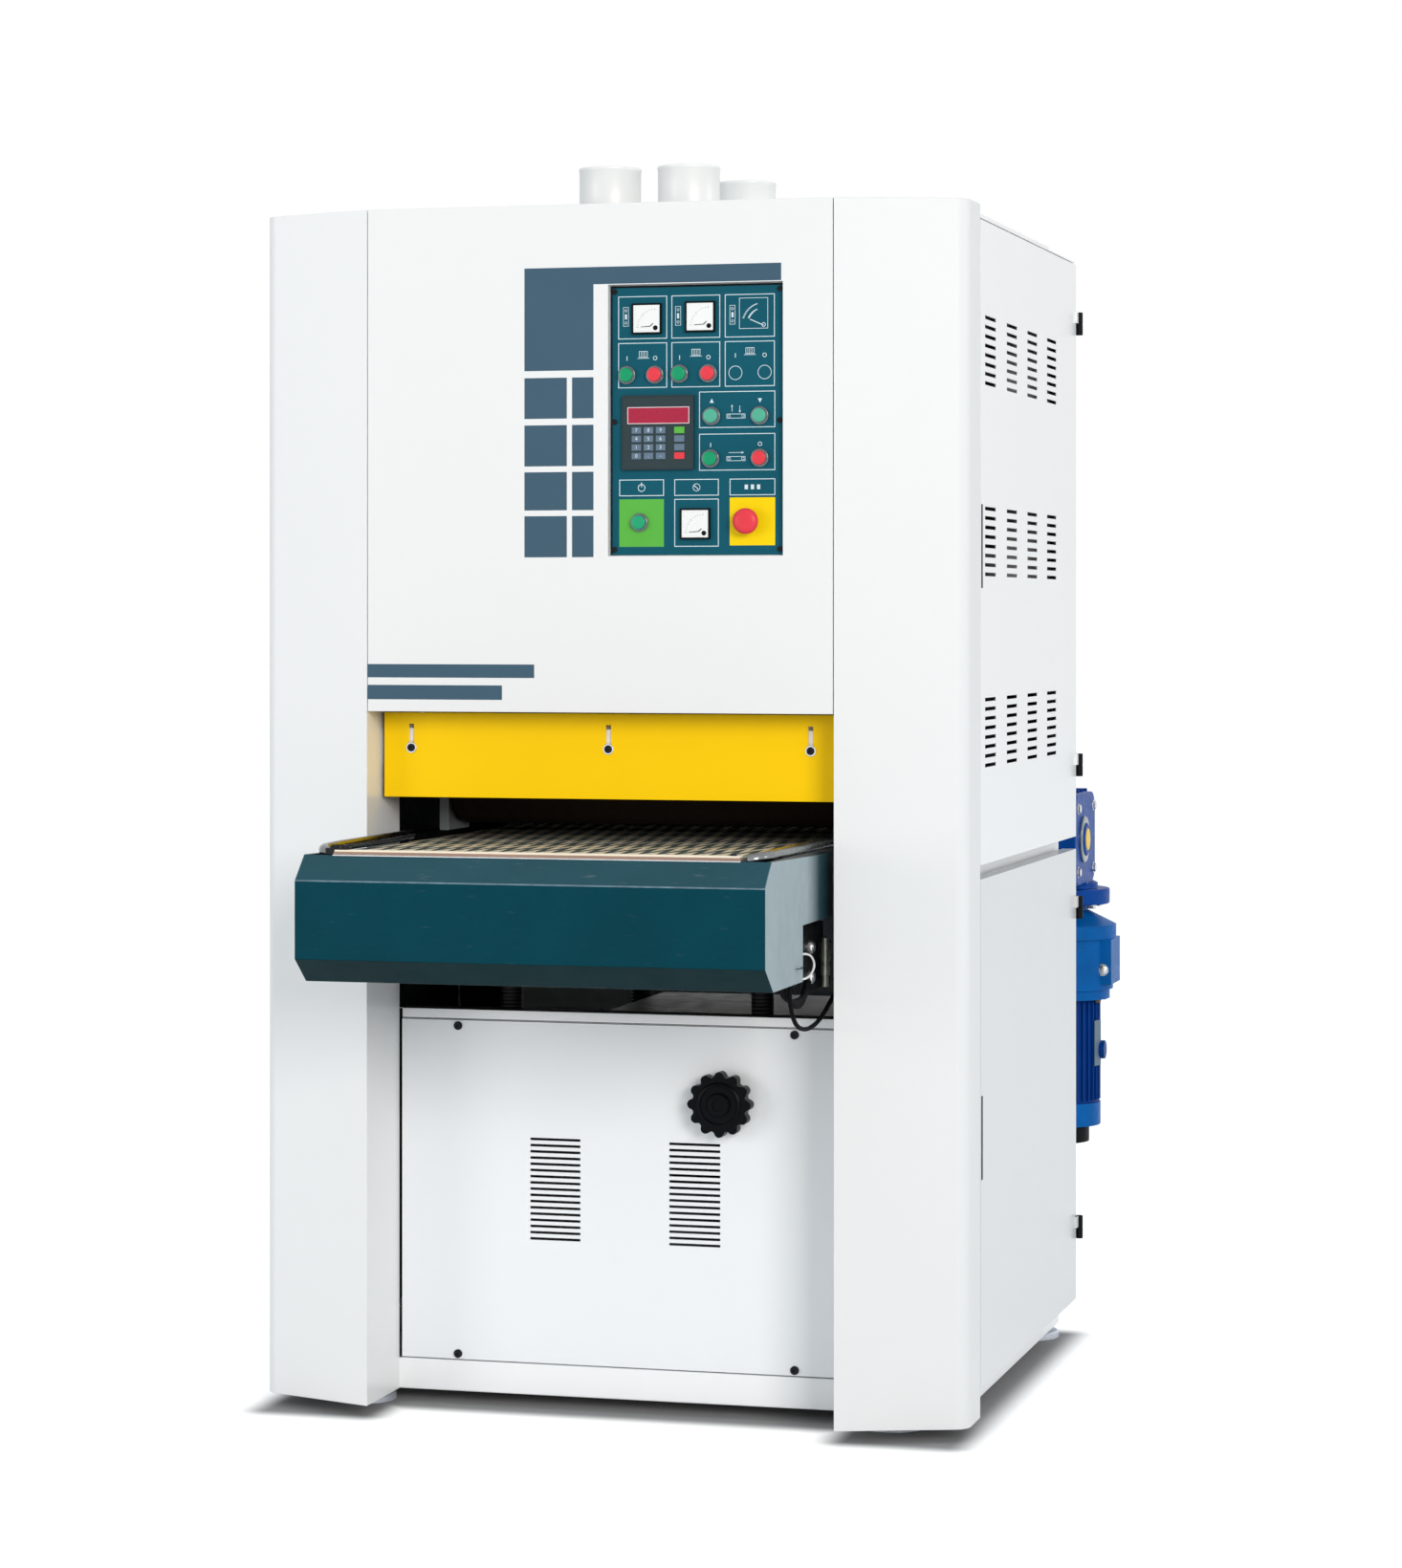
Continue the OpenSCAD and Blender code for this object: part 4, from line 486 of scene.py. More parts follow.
class Bench:
    """Modelling by hand: primitives shaped with operators, then given their edges and finish."""

    @staticmethod
    def only(*things: Thing) -> None:
        """Select these things alone, the first one active.

        Args:
            things: What is selected.
        """
        bpy.ops.object.select_all(action="DESELECT")
        for thing in things:
            thing.select_set(True)
        bpy.context.view_layer.objects.active = things[0]

    @staticmethod
    def fresh(add: Callable[..., object], **values: object) -> Thing:
        """Add a primitive while nothing else is selected.

        Args:
            add: The operator that adds it.
            values: The operator's settings.

        Returns:
            The new piece.
        """
        bpy.ops.object.select_all(action="DESELECT")
        add(**values)
        return bpy.context.object

    @staticmethod
    def link(name: str, data: bpy.types.ID) -> Thing:
        """Put a mesh or curve into the scene.

        Args:
            name: The piece's name.
            data: Its mesh or curve.

        Returns:
            The new piece.
        """
        thing = bpy.data.objects.new(name, data)
        bpy.context.scene.collection.objects.link(thing)
        return thing

    @staticmethod
    def rename(thing: Thing, name: str) -> Thing:
        """Name a piece and its mesh alike, and give it back."""
        thing.name = thing.data.name = name
        return thing

    @staticmethod
    def settle(thing: Thing, name: str, place: Vector, facing: Facing) -> Thing:
        """Turn a piece, put it in place and apply both to its mesh.

        Args:
            thing: The piece, modelled round the origin.
            name: Its name.
            place: Where its origin goes.
            facing: Which way its up axis points.

        Returns:
            The piece.
        """
        thing.location = place
        thing.rotation_euler = facing.euler()
        Bench.only(thing)
        bpy.ops.object.transform_apply(location=True, rotation=True, scale=True)
        return Bench.rename(thing, name)

    @staticmethod
    def soften(thing: Thing, width: float) -> Thing:
        """Bevel the sharp edges and smooth the shading.

        Args:
            thing: The piece.
            width: The bevel in millimetres, or 0 for none.

        Returns:
            The piece.
        """
        Bench.only(thing)
        if width:
            edge = thing.modifiers.new("edge", "BEVEL")
            edge.width = width / 1000
            edge.segments = 2
            edge.limit_method = "ANGLE"
            edge.angle_limit = EDGE_ANGLE
            edge.use_clamp_overlap = False
            bpy.ops.object.modifier_apply(modifier=edge.name)
        bpy.ops.object.shade_smooth_by_angle(angle=SMOOTH_ANGLE)
        if width:
            normals = thing.modifiers.new("normals", "WEIGHTED_NORMAL")
            normals.keep_sharp = True
            bpy.ops.object.modifier_apply(modifier=normals.name)
        return thing

    @staticmethod
    def block(name: str, size: Point, place: Vector, facing: Facing = Facing.UP, edge: float = 1) -> Thing:
        """Model a box with softened edges.

        Args:
            name: The piece's name.
            size: Width, height and depth along its own axes, in millimetres.
            place: Its middle.
            facing: Which way its depth points.
            edge: The bevel in millimetres.

        Returns:
            The piece.
        """
        thing = Bench.fresh(bpy.ops.mesh.primitive_cube_add, size=1)
        thing.scale = Vector(size) / 1000
        return Bench.soften(Bench.settle(thing, name, place, facing), edge)

    @staticmethod
    def slab(name: str, low: Point, high: Point, edge: float = 1) -> Thing:
        """Model a box between two corners.

        Args:
            name: The piece's name.
            low: Its lowest corner in machine millimetres.
            high: Its highest corner.
            edge: The bevel in millimetres.

        Returns:
            The piece.
        """
        middle = [(a + b) / 2 for a, b in zip(low, high)]
        size = tuple(b - a for a, b in zip(low, high))
        return Bench.block(name, size, row(*middle), Facing.UP, edge)

    @staticmethod
    def framed(name: str, size: Point, rim: float, depth: float, place: Vector) -> Thing:
        """Model a box that looks to the front, its face sunk inside a rim.

        Args:
            name: The piece's name.
            size: Width, height and depth in millimetres.
            rim: Width of the rim.
            depth: How far the face is sunk.
            place: The middle of its back.

        Returns:
            The piece.
        """
        thing = Bench.fresh(bpy.ops.mesh.primitive_cube_add, size=1)
        thing.scale = Vector(size) / 1000
        thing.location.z = size[2] / 2000
        bpy.ops.object.transform_apply(location=True, rotation=True, scale=True)
        for face in thing.data.polygons:
            face.select = face.normal.z > 0.9
        for edge in thing.data.edges:
            edge.select = False
        for vertex in thing.data.vertices:
            vertex.select = vertex.co.z > size[2] / 1500
        bpy.ops.object.mode_set(mode="EDIT")
        bpy.ops.mesh.select_mode(type="FACE")
        bpy.ops.mesh.inset(thickness=rim / 1000, depth=0)
        bpy.ops.mesh.extrude_region_move(TRANSFORM_OT_translate={"value": (0, 0, -depth / 1000)})
        bpy.ops.object.mode_set(mode="OBJECT")
        return Bench.soften(Bench.settle(thing, name, place, Facing.FRONT), min(0.8, rim / 4))

    @staticmethod
    def turned(name: str, profile: Sequence[Flat], place: Vector, facing: Facing = Facing.UP,
               sides: int = 32, hollow: bool = False) -> Thing:
        """Model a turned piece by extruding and scaling a disc along its profile.

        Args:
            name: The piece's name.
            profile: Radius and height of each step, in millimetres.
            place: Where its axis starts.
            facing: Which way its axis points.
            sides: Sides of the disc.
            hollow: True for a ring, whose profile closes on itself.

        Returns:
            The piece.
        """
        radius, height = profile[0]
        thing = Bench.fresh(bpy.ops.mesh.primitive_circle_add, vertices=sides, radius=radius / 1000,
                            fill_type="NOTHING" if hollow else "NGON")
        thing.location.z = height / 1000
        bpy.ops.object.transform_apply(location=True, rotation=True, scale=True)
        bpy.ops.object.mode_set(mode="EDIT")
        bpy.ops.mesh.select_mode(type="VERT")
        bpy.ops.mesh.select_all(action="SELECT")
        steps = list(profile[1:]) + ([profile[0]] if hollow else [])
        for next_radius, next_height in steps:
            rise = (next_height - height) / 1000
            bpy.ops.mesh.extrude_region_move(TRANSFORM_OT_translate={"value": (0, 0, rise)})
            grow = next_radius / radius
            bpy.ops.transform.resize(value=(grow, grow, 1), center_override=(0, 0, 0))
            radius, height = next_radius, next_height
        bpy.ops.mesh.select_all(action="SELECT")
        bpy.ops.mesh.remove_doubles(threshold=WELD)
        bpy.ops.mesh.normals_make_consistent(inside=False)
        bpy.ops.object.mode_set(mode="OBJECT")
        return Bench.soften(Bench.settle(thing, name, place, facing), 0)

    @staticmethod
    def prism(name: str, outline: Sequence[Flat], depth: float, place: Vector, edge: float = 0) -> Thing:
        """Model a flat outline drawn out to the front.

        Args:
            name: The piece's name.
            outline: Its corners in millimetres.
            depth: How thick it is.
            place: Where its origin goes.
            edge: The bevel in millimetres.

        Returns:
            The piece.
        """
        thing = Bench.fresh(bpy.ops.mesh.primitive_circle_add, vertices=len(outline), radius=0.01,
                            fill_type="NGON")
        for vertex, (u, v) in zip(thing.data.vertices, outline):
            vertex.co = Vector((u, v, 0)) / 1000
        bpy.ops.object.mode_set(mode="EDIT")
        bpy.ops.mesh.select_all(action="SELECT")
        bpy.ops.mesh.extrude_region_move(TRANSFORM_OT_translate={"value": (0, 0, depth / 1000)})
        bpy.ops.mesh.select_all(action="SELECT")
        bpy.ops.mesh.normals_make_consistent(inside=False)
        bpy.ops.object.mode_set(mode="OBJECT")
        return Bench.soften(Bench.settle(thing, name, place, Facing.FRONT), edge)

    @staticmethod
    def letter(name: str, sign: str, height: float, place: Vector) -> Thing:
        """Model a raised digit that looks to the front.

        Args:
            name: The piece's name.
            sign: The digit.
            height: Its height in millimetres.
            place: Its middle.

        Returns:
            The piece.
        """
        text = Bench.fresh(bpy.ops.object.text_add).data
        text.body = sign
        text.size = height / 700
        text.extrude = 0.0001
        text.align_x = text.align_y = "CENTER"
        bpy.ops.object.convert(target="MESH")
        return Bench.settle(bpy.context.object, name, place, Facing.FRONT)

    @staticmethod
    def curve(name: str, points: Sequence[Vector], radius: float) -> Thing:
        """Draw a round curve of one open spline through points.

        Args:
            name: The piece's name.
            points: What it runs through, in metres.
            radius: Its radius in millimetres.

        Returns:
            The curve.
        """
        data = bpy.data.curves.new(name, "CURVE")
        data.dimensions = "3D"
        data.bevel_depth = radius / 1000
        data.bevel_resolution = 4
        data.use_fill_caps = True
        data.resolution_u = 6
        spline = data.splines.new("BEZIER")
        spline.bezier_points.add(len(points) - 1)
        for point, at in zip(spline.bezier_points, points):
            point.co = at
            point.handle_left_type = point.handle_right_type = "AUTO"
        return Bench.link(name, data)

    @staticmethod
    def to_mesh(curve: Thing) -> Thing:
        """Make a curve a mesh.

        Args:
            curve: The curve.

        Returns:
            The piece.
        """
        Bench.only(curve)
        bpy.ops.object.convert(target="MESH")
        return Bench.soften(bpy.context.object, 0)

    @staticmethod
    def wire(name: str, points: Sequence[Point], radius: float) -> Thing:
        """Model a bent wire of a radius through points, all in machine millimetres."""
        return Bench.to_mesh(Bench.curve(name, [row(*point) for point in points], radius))

    @staticmethod
    def hexagon(name: str, radius: float, height: float, place: Vector, facing: Facing) -> Thing:
        """Model a hexagon bolt head on its washer.

        Args:
            name: The piece's name.
            radius: Radius to the corners in millimetres.
            height: Height of the head.
            place: Where it sits.
            facing: Which way it looks.

        Returns:
            The piece.
        """
        wide = radius * 1.25
        washer = [(wide, 0), (wide, height * 0.2), (radius, height * 0.25)]
        head = [(radius, height * 0.2), (radius, height * 0.85), (radius * 0.86, height)]
        return Bench.join(name, [Bench.turned(name, washer, place, facing, 20),
                                 Bench.turned(name, head, place, facing, 6)])

    @staticmethod
    def socket_screw(name: str, radius: float, height: float, place: Vector, facing: Facing) -> Thing:
        """Model a round screw head with a socket in it, its radius and height in millimetres."""
        profile = [(radius, 0), (radius, height * 0.6), (radius * 0.82, height), (radius * 0.5, height),
                   (radius * 0.46, height * 0.35)]
        return Bench.turned(name, profile, place, facing, 20)

    @staticmethod
    def copies(name: str, thing: Thing, moves: Sequence[Matrix]) -> Thing:
        """Copy a piece to several places and join the copies.

        Args:
            name: The joined piece's name.
            thing: The piece, which is used up.
            moves: What is applied to each copy.

        Returns:
            The joined piece.
        """
        made = []
        for move in moves:
            mesh = thing.data.copy()
            mesh.transform(move)
            made.append(Bench.link(name, mesh))
        bpy.data.objects.remove(thing)
        return Bench.join(name, made)

    @staticmethod
    def around(name: str, thing: Thing, centre: Vector, axis: str, count: int, start: float) -> Thing:
        """Copy a piece round an axis.

        Args:
            name: The joined piece's name.
            thing: The piece, which is used up.
            centre: A point on the axis.
            axis: X, Y or Z.
            count: How many copies.
            start: Turn of the first one in degrees.

        Returns:
            The joined piece.
        """
        here = Matrix.Translation(centre)
        back = Matrix.Translation(-centre)
        turns = [here @ Matrix.Rotation(math.radians(start) + math.tau * i / count, 4, axis) @ back
                 for i in range(count)]
        return Bench.copies(name, thing, turns)

    @staticmethod
    def join(name: str, things: Sequence[Thing]) -> Thing:
        """Join pieces into one.

        Args:
            name: The joined piece's name.
            things: The pieces.

        Returns:
            The joined piece.
        """
        Bench.only(*things)
        if len(things) > 1:
            bpy.ops.object.join()
        return Bench.rename(bpy.context.view_layer.objects.active, name)

    @staticmethod
    def copy_node(node: str, edge: float) -> Thing:
        """Copy a CAD node, merge its facets and soften its edges.

        Args:
            node: The CAD node's name.
            edge: The bevel in millimetres.

        Returns:
            The copy.
        """
        thing = Bench.link(node + "_skin", frame["nodes"][node].data.copy())
        thing.data.materials.clear()
        Bench.only(thing)
        bpy.ops.object.mode_set(mode="EDIT")
        bpy.ops.mesh.select_all(action="SELECT")
        bpy.ops.mesh.customdata_custom_splitnormals_clear()
        bpy.ops.mesh.remove_doubles(threshold=NODE_WELD)
        bpy.ops.mesh.dissolve_limited(angle_limit=MERGE_ANGLE)
        bpy.ops.object.mode_set(mode="OBJECT")
        return Bench.soften(thing, edge)

    @staticmethod
    def dress(thing: Thing, finish: Finish, body: str, *nodes: str) -> Thing:
        """Give a piece its finish and its body.

        Args:
            thing: The piece.
            finish: What it is finished in.
            body: The body that it moves with.
            nodes: CAD nodes that it stands for.

        Returns:
            The piece.
        """
        thing.data.materials.clear()
        thing.data.materials.append(finish.material())
        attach(thing, body)
        if nodes:
            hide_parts(*nodes)
        LOG.info("%s in %s on %s", thing.name, finish.name, body)
        return thing

    @staticmethod
    def unite(name: str, things: Sequence[Thing], finish: Finish, body: str, *nodes: str) -> Thing:
        """Join pieces into one, and dress it."""
        return Bench.dress(Bench.join(name, things), finish, body, *nodes)

    @staticmethod
    def repaint(thing: Thing, finish: Finish, test: Callable[[Face], bool]) -> None:
        """Give some faces of a dressed piece a second finish.

        Args:
            thing: The piece.
            finish: The second finish.
            test: True for a face that gets it.
        """
        thing.data.materials.append(finish.material())
        index = len(thing.data.materials) - 1
        for face in thing.data.polygons:
            if test(face):
                face.material_index = index


@dataclass(frozen=True)
class Skin:
    """A CAD node whose shape is kept, with its finish and the bevel of its edges in millimetres."""

    node: str
    finish: Finish
    edge: float = 0.8

    def build(self) -> Thing:
        """Copy, soften and dress the node."""
        body = body_of_node(self.node)
        return Bench.dress(Bench.copy_node(self.node, self.edge), self.finish, body, self.node)


@dataclass(frozen=True)
class Plate:
    """A box piece between two corners in machine millimetres, with its finish, body and bevel."""

    name: str
    low: Point
    high: Point
    finish: Finish
    body: str
    edge: float = 1

    def build(self) -> Thing:
        """Model and dress the box."""
        return Bench.dress(Bench.slab(self.name, self.low, self.high, self.edge), self.finish, self.body)


@dataclass
class Cabinet:
    """The welded frame, its covers, doors, roof, outlets and feet."""

    skins: Tuple[Skin, ...] = (
        Skin("left_pillar", Paints.LEFT, 1), Skin("right_pillar", Paints.PILLAR, 1),
        Skin("upper_front_cover", Paints.WHITE), Skin("lower_front_panel", Paints.PANEL, 0.7),
        Skin("top_cover", Paints.WHITE, 0.9), Skin("rear_panels", Paints.WHITE),
        Skin("right_upper_door", Paints.WHITE, 0.9), Skin("right_lower_door", Paints.SHADED, 0.9),
        Skin("left_door", Paints.WHITE, 0.9), Skin("door_hinges", Paints.BLACK, 0.7),
    )
    shell: Skin = Skin("main_frame", Paints.FRAME, 2.5)
    plates: Tuple[Plate, ...] = (
        # The lift cover under the table, its left part in painted shade.
        Plate("lift_cover", (-60, 250, 628), (335, 600, 631), Paints.OLIVE, "frame"),
        # A near-black sheet at the back of the throat: painted shade where daylight would show through.
        Plate("throat_shade_sheet", (-454.4, 1024, 800), (-405, 1026, 1000), Paints.INNER_SHADE, "frame", 0.6),
        # A dark sheet on the bed behind the stop switch: painted shade over a gap that would show light.
        Plate("switch_shade_sheet", (296, 214, 692), (349, 217, 739.8), Paints.DARK, "bed", 0.8),
    )
    hinge_y: float = 1030.5
    pulls: Tuple[Tuple[str, int, float], ...] = (
        ("right_upper_door", 1, 1317), ("right_lower_door", 1, 390), ("left_door", -1, 1317),
    )
    slot_x: Flat = (0.5738, 0.5772)
    slot_y: Flat = (169, 184.5)
    slot_z: Flat = (-0.001, 0.132)
    cup_x: Flat = (570.5, 574.2)
    cup_y: Flat = (169.6, 194)
    cup_z: Flat = (-8, 139)
    sill_z: Flat = (0.6, 0.65)
    rail_y: float = 1000
    rail_top: float = 0.2
    inner_x: float = 0.456
    inner_y: float = 150
    inner_z: float = 0.075
    lid_top: float = 1911
    outlets: Tuple[Flat, ...] = ((-48, 238), (84, 238), (111, 500))
    outlet_r: float = 50
    outlet_h: float = 86
    feet: Tuple[Flat, ...] = ((-440, 155), (440, 155), (-500, 994), (500, 994))
    foot: Profile = ((49, 0), (52, 1.5), (52, 10.6), (49, 13.4), (30, 14), (22, 14.8), (16, 15), (16, 20))
    foot_nut: Profile = ((24, 14.6), (24, 19), (22, 19.8))
    corner_band: Profile = ((-118, 1657), (-5, 1657), (-5, 1791), (297, 1791), (297, 1818), (-118, 1818))
    band_spans: Tuple[Flat, ...] = ((1582, 1646), (1507.5, 1571.8), (1438.5, 1498.4), (1365, 1429.5))
    band_columns: Tuple[Flat, ...] = ((-118, -48.5), (-40, -5))
    stripes: Tuple[Box, ...] = ((-378.4, 1175.8, -102, 1197), (-378.4, 1141.2, -155, 1164))
    rear_xs: Tuple[float, ...] = (-540, -180, 180, 540)
    rear_zs: Tuple[float, ...] = (90, 350, 620, 1004, 1440, 1870)

    def build(self) -> None:
        """Build every piece of the cabinet."""
        for skin in self.skins:
            piece = skin.build()
            if skin.node.endswith("_door"):
                Bench.repaint(piece, Paints.BLACK, lambda face: face.center.y > deep(self.hinge_y))
                # The doors' inner faces get the near-black painted shade.
                Bench.repaint(piece, Paints.INNER_SHADE, lambda face: face.normal.x * face.center.x < -0.25)
                # The walls of the doors' finger slots get dark steel: painted shade in the slot.
                Bench.repaint(piece, Paints.DARK, self.slot_wall)
        # The frame's faces inside the cabinet get the near-black painted shade.
        Bench.repaint(self.shell.build(), Paints.INNER_SHADE, self.inside)
        self.build_outlets()
        self.build_feet()
        self.build_bands()
        for plate in self.plates:
            plate.build()
        self.build_fittings()

    def inside(self, face: Face) -> bool:
        """Tell whether a face of the frame lies inside the cabinet, where it gets painted shade.

        Args:
            face: The face.

        Returns:
            True if only the openings show it.
        """
        at = face.center
        sill = self.sill_z[0] < at.z < self.sill_z[1] and face.normal.y < -0.5
        if at.z < self.rail_top and face.normal.y > 0.5 and at.y > deep(self.rail_y):
            return False
        hidden = abs(at.x) < self.inner_x or (at.x < 0 and face.normal.x > -0.5)
        return hidden and at.y > deep(self.inner_y) and at.z > self.inner_z and not sill

    def slot_wall(self, face: Face) -> bool:
        """Tell whether a face of a door is a wall of its finger slot, which gets painted shade.

        Args:
            face: The face.

        Returns:
            True if the face lies within the slot.
        """
        at = face.center
        low, high = self.slot_z
        tall = any(z / 1000 + low < at.z < z / 1000 + high for _, _, z in self.pulls)
        wall = self.slot_x[0] < abs(at.x) < self.slot_x[1] and abs(face.normal.x) < 0.9
        return tall and wall and deep(self.slot_y[0]) < at.y < deep(self.slot_y[1])

    def build_outlets(self) -> None:
        """Turn the dust outlets, with a rolled rim and a seam bead."""
        r, h = self.outlet_r, self.outlet_h
        profile = [(r - 2, 0), (r + 8, 0), (r + 8, 1.4), (r + 7.4, 2), (r + 0.8, 2.2), (r, 3.4),
                   (r, h - 6), (r + 0.9, h - 4.6), (r + 1.1, h - 2), (r + 0.5, h - 0.5), (r - 0.8, h),
                   (r - 2, h - 1)]
        made = [Bench.turned("outlet", profile, row(x, y, self.lid_top), Facing.UP, 56, True)
                for x, y in self.outlets]
        Bench.unite("dust_outlet_tubes", made, Paints.OUTLET, "frame", "dust_outlets")

    def build_feet(self) -> None:
        """Turn the levelling feet, each with its stud and nut."""
        made = [Bench.turned("foot", profile, row(x, y, 0), Facing.UP, sides)
                for profile, sides in ((self.foot, 48), (self.foot_nut, 6)) for x, y in self.feet]
        Bench.unite("foot_pads", made, Paints.FOOT, "frame", "levelling_feet")

    def build_bands(self) -> None:
        """Lay the blue film blocks and stripes on the upper cover."""
        boxes = [(x0, z0, x1, z1) for z0, z1 in self.band_spans for x0, x1 in self.band_columns]
        made = [Bench.slab("band", (x0, -0.25, z0), (x1, 0.6, z1), 0.12)
                for x0, z0, x1, z1 in (*boxes, *self.stripes)]
        made.append(Bench.prism("band", self.corner_band, 0.85, row(0, 0.6, 0), 0.12))
        Bench.unite("cover_bands", made, Paints.DECAL, "frame")

    def build_fittings(self) -> None:
        """Fit the rear panels' screws, the cups of the finger slots and the guard slots' backs."""
        made = [Bench.socket_screw("rear_screw", 7, 3.5, row(x, 1036.4, z), Facing.BACK)
                for z in self.rear_zs for x in self.rear_xs]
        Bench.unite("rear_panel_screws", made, Paints.DARK, "frame")
        for node, side, z in self.pulls:
            near, far = sorted(side * x for x in self.cup_x)
            cup = Bench.slab(node + "_cup", (near, self.cup_y[0], z + self.cup_z[0]),
                             (far, self.cup_y[1], z + self.cup_z[1]), 0.6)
            Bench.dress(cup, Paints.DARK, body_of_node(node))
        backs = [Bench.slab("slot_backing", (x - 9, 80.8, 1050), (x + 9, 82, 1112), 0.3)
                 for x in GUARD_BOLT_XS]
        Bench.unite("slot_backings", backs, Paints.WHITE, "frame")


@dataclass(frozen=True)
class Button:
    """A push button: its CAD node, its finish and its place on the control plate in millimetres."""

    node: str
    finish: Finish
    x: float
    z: float


@dataclass
class ControlPanel:
    """The control plate with its print, meters, keypad, buttons and screws."""

    left: float = 20
    top: float = 1788
    face: float = 12
    buttons: Tuple[Button, ...] = (
        Button("head1_start", Paints.GREEN, 26.1, 139), Button("head1_stop", Paints.RED, 71.7, 139),
        Button("head2_start", Paints.GREEN, 111.2, 138.2), Button("head2_stop", Paints.RED, 157.6, 138.2),
        Button("table_up", Paints.PALE, 162.9, 204.5), Button("table_down", Paints.PALE, 240.2, 204.5),
        Button("feed_start", Paints.GREEN, 161.2, 270.5), Button("feed_stop", Paints.RED, 240.2, 270.1),
        Button("power_button", Paints.POWER, 46.4, 369.2),
    )
    stop: Button = Button("emergency_stop", Paints.RED, 221.3, 368.3)
    collar: Profile = ((11.4, 0), (14.5, 0), (14.5, 3), (14, 3.6), (13.2, 3.8), (13.2, 6.2), (12.6, 7),
                       (11.4, 7))
    cap: Profile = ((7, -28), (7, 5), (10.6, 5), (11, 5.4), (11, 9.2), (10.5, 10.1), (9, 10.7), (5.5, 11))
    contacts: Profile = ((13.4, -43), (14, -42.4), (14, -3.6), (13.4, -3))
    stop_collar: Profile = ((7.4, 0), (16, 0), (16, 3.4), (15, 6), (7.4, 6))
    mushroom: Profile = ((7, -28), (7, 12), (14, 12), (18.6, 13), (20, 15), (20, 19), (19.2, 21.4),
                         (16.5, 23.8), (12, 25.3), (6, 26))
    fields: Tuple[Tuple[str, Box, Finish], ...] = (
        ("power_field", (13.5, 407.1, 85.9, 332.8), Paints.FIELD_GREEN),
        ("stop_field", (191.8, 405.5, 264.5, 331.2), Paints.FIELD_YELLOW),
    )
    # Black bars along the plate's top and left edges: painted shade of its recess.
    recess_shades: Tuple[Box, ...] = ((0, 3, 278, 0), (0, 420, 2.4, 3))
    meters: Tuple[Flat, ...] = ((58.9, 51.7), (145.1, 50), (137.1, 371.7))
    meter_case: Point = (48, 48, 6)
    meter_back: Point = (43, 43, 40)
    dial: Point = (42.4, 42.4, 0.6)
    scale_r: float = 29
    meter_pivot: float = 14.5
    needle: Profile = ((-23.5, 1.2), (-23.5, 2.1), (-9, 3), (-4, 7.5), (-3.2, 6.8), (-8, 2))
    hub: Profile = ((3.8, 0), (3.8, 0.5), (3.2, 0.9), (1.4, 1))
    keypad: Flat = (77.3, 229.3)
    keypad_case: Point = (116, 116, 7)
    keypad_back: Point = (106, 106, 60)
    display: Flat = (78.6, 202.7)
    display_rim: Point = (100, 26.4, 1.4)
    display_glass: Point = (97.2, 23.6, 0.5)
    key_row: float = 225.8
    key_step: Flat = (19.6, 13.3)
    key_columns: Flat = (43.2, 112.5)
    key_signs: str = "7894561230.-"
    key: Point = (15.4, 10.2, 1.6)
    side_key: Point = (16.5, 10.2, 1.6)
    key_out: float = 6.6
    screw_xs: Flat = (6.1, 271.9)
    screw_zs: Tuple[float, ...] = (8.8, 212.1, 411.2)
    panel_xs: Flat = (-280, 280)
    panel_zs: Flat = (81, 611)
    guard_z: float = 1063
    washer: Profile = ((6.5, 0), (8.8, 0), (8.8, 1), (8.3, 1.4), (6.5, 1.4))
    boxes: Tuple[Box, ...] = (
        (11.8, 16.2, 91, 83), (98.1, 16.2, 176.5, 83), (184, 16.2, 263.8, 83),
        (11.8, 88.9, 91, 159.3), (98.1, 88.9, 176.5, 159.3), (184, 88.9, 263.8, 159.3),
        (142.7, 166.4, 264.5, 222.9), (142.7, 232, 264.5, 289.2), (13.5, 302.1, 85.9, 327.9),
        (102.8, 302.1, 174.2, 327.9), (191.8, 302.1, 264.5, 327.9), (102.8, 332.8, 174.2, 407.1),
    )
    fuses: Tuple[float, ...] = (24.4, 108.8, 196.2)
    motors: Tuple[Flat, ...] = ((52.6, 107), (137.5, 105), (224.2, 104))
    tables: Tuple[Flat, ...] = ((201.8, 205), (201.8, 271))
    ones: Tuple[Flat, ...] = ((26.1, 113), (111.2, 113), (200.9, 111), (161.2, 249.5))
    noughts: Tuple[Flat, ...] = ((71.7, 113), (157.6, 113), (247.6, 111), (240.2, 248.5))
    bars: Tuple[Box, ...] = (
        (195.1, 189, 195.9, 198), (207.6, 189, 208.4, 198), (190, 261.2, 211, 262), (49, 307, 50.4, 314),
    )
    rings: Tuple[Tuple[float, float, float, float, int], ...] = (
        (200.9, 138, 11, 0.9, 32), (247.6, 137.5, 11, 0.9, 32), (246, 64, 3.4, 1, 20),
        (49.7, 315.2, 6, 1.1, 32), (138.5, 315, 6, 0.9, 32),
    )
    arrows: Tuple[Tuple[float, float, Profile], ...] = (
        (163, 181, ((-3.2, -3), (3.2, -3), (0, 3.6))),
        (240.2, 181, ((0, -3.6), (3.2, 3), (-3.2, 3))),
        (195.5, 189, ((-1.6, -1.5), (1.6, -1.5), (0, 2))),
        (208, 198, ((-1.6, 1.5), (0, -2), (1.6, 1.5))),
        (212, 261.6, ((-1, -1.7), (2.6, 0), (-1, 1.7))),
        (246, 64, ((-22, 8), (-21.4, 9.2), (0.4, -0.4), (-0.8, -1.4))),
        (138.5, 315, ((-4.4, 2.6), (-3.6, 3.6), (3.4, -2.6), (2.6, -3.6))),
    )
    gauge: Box = (207, 22, 253, 70)
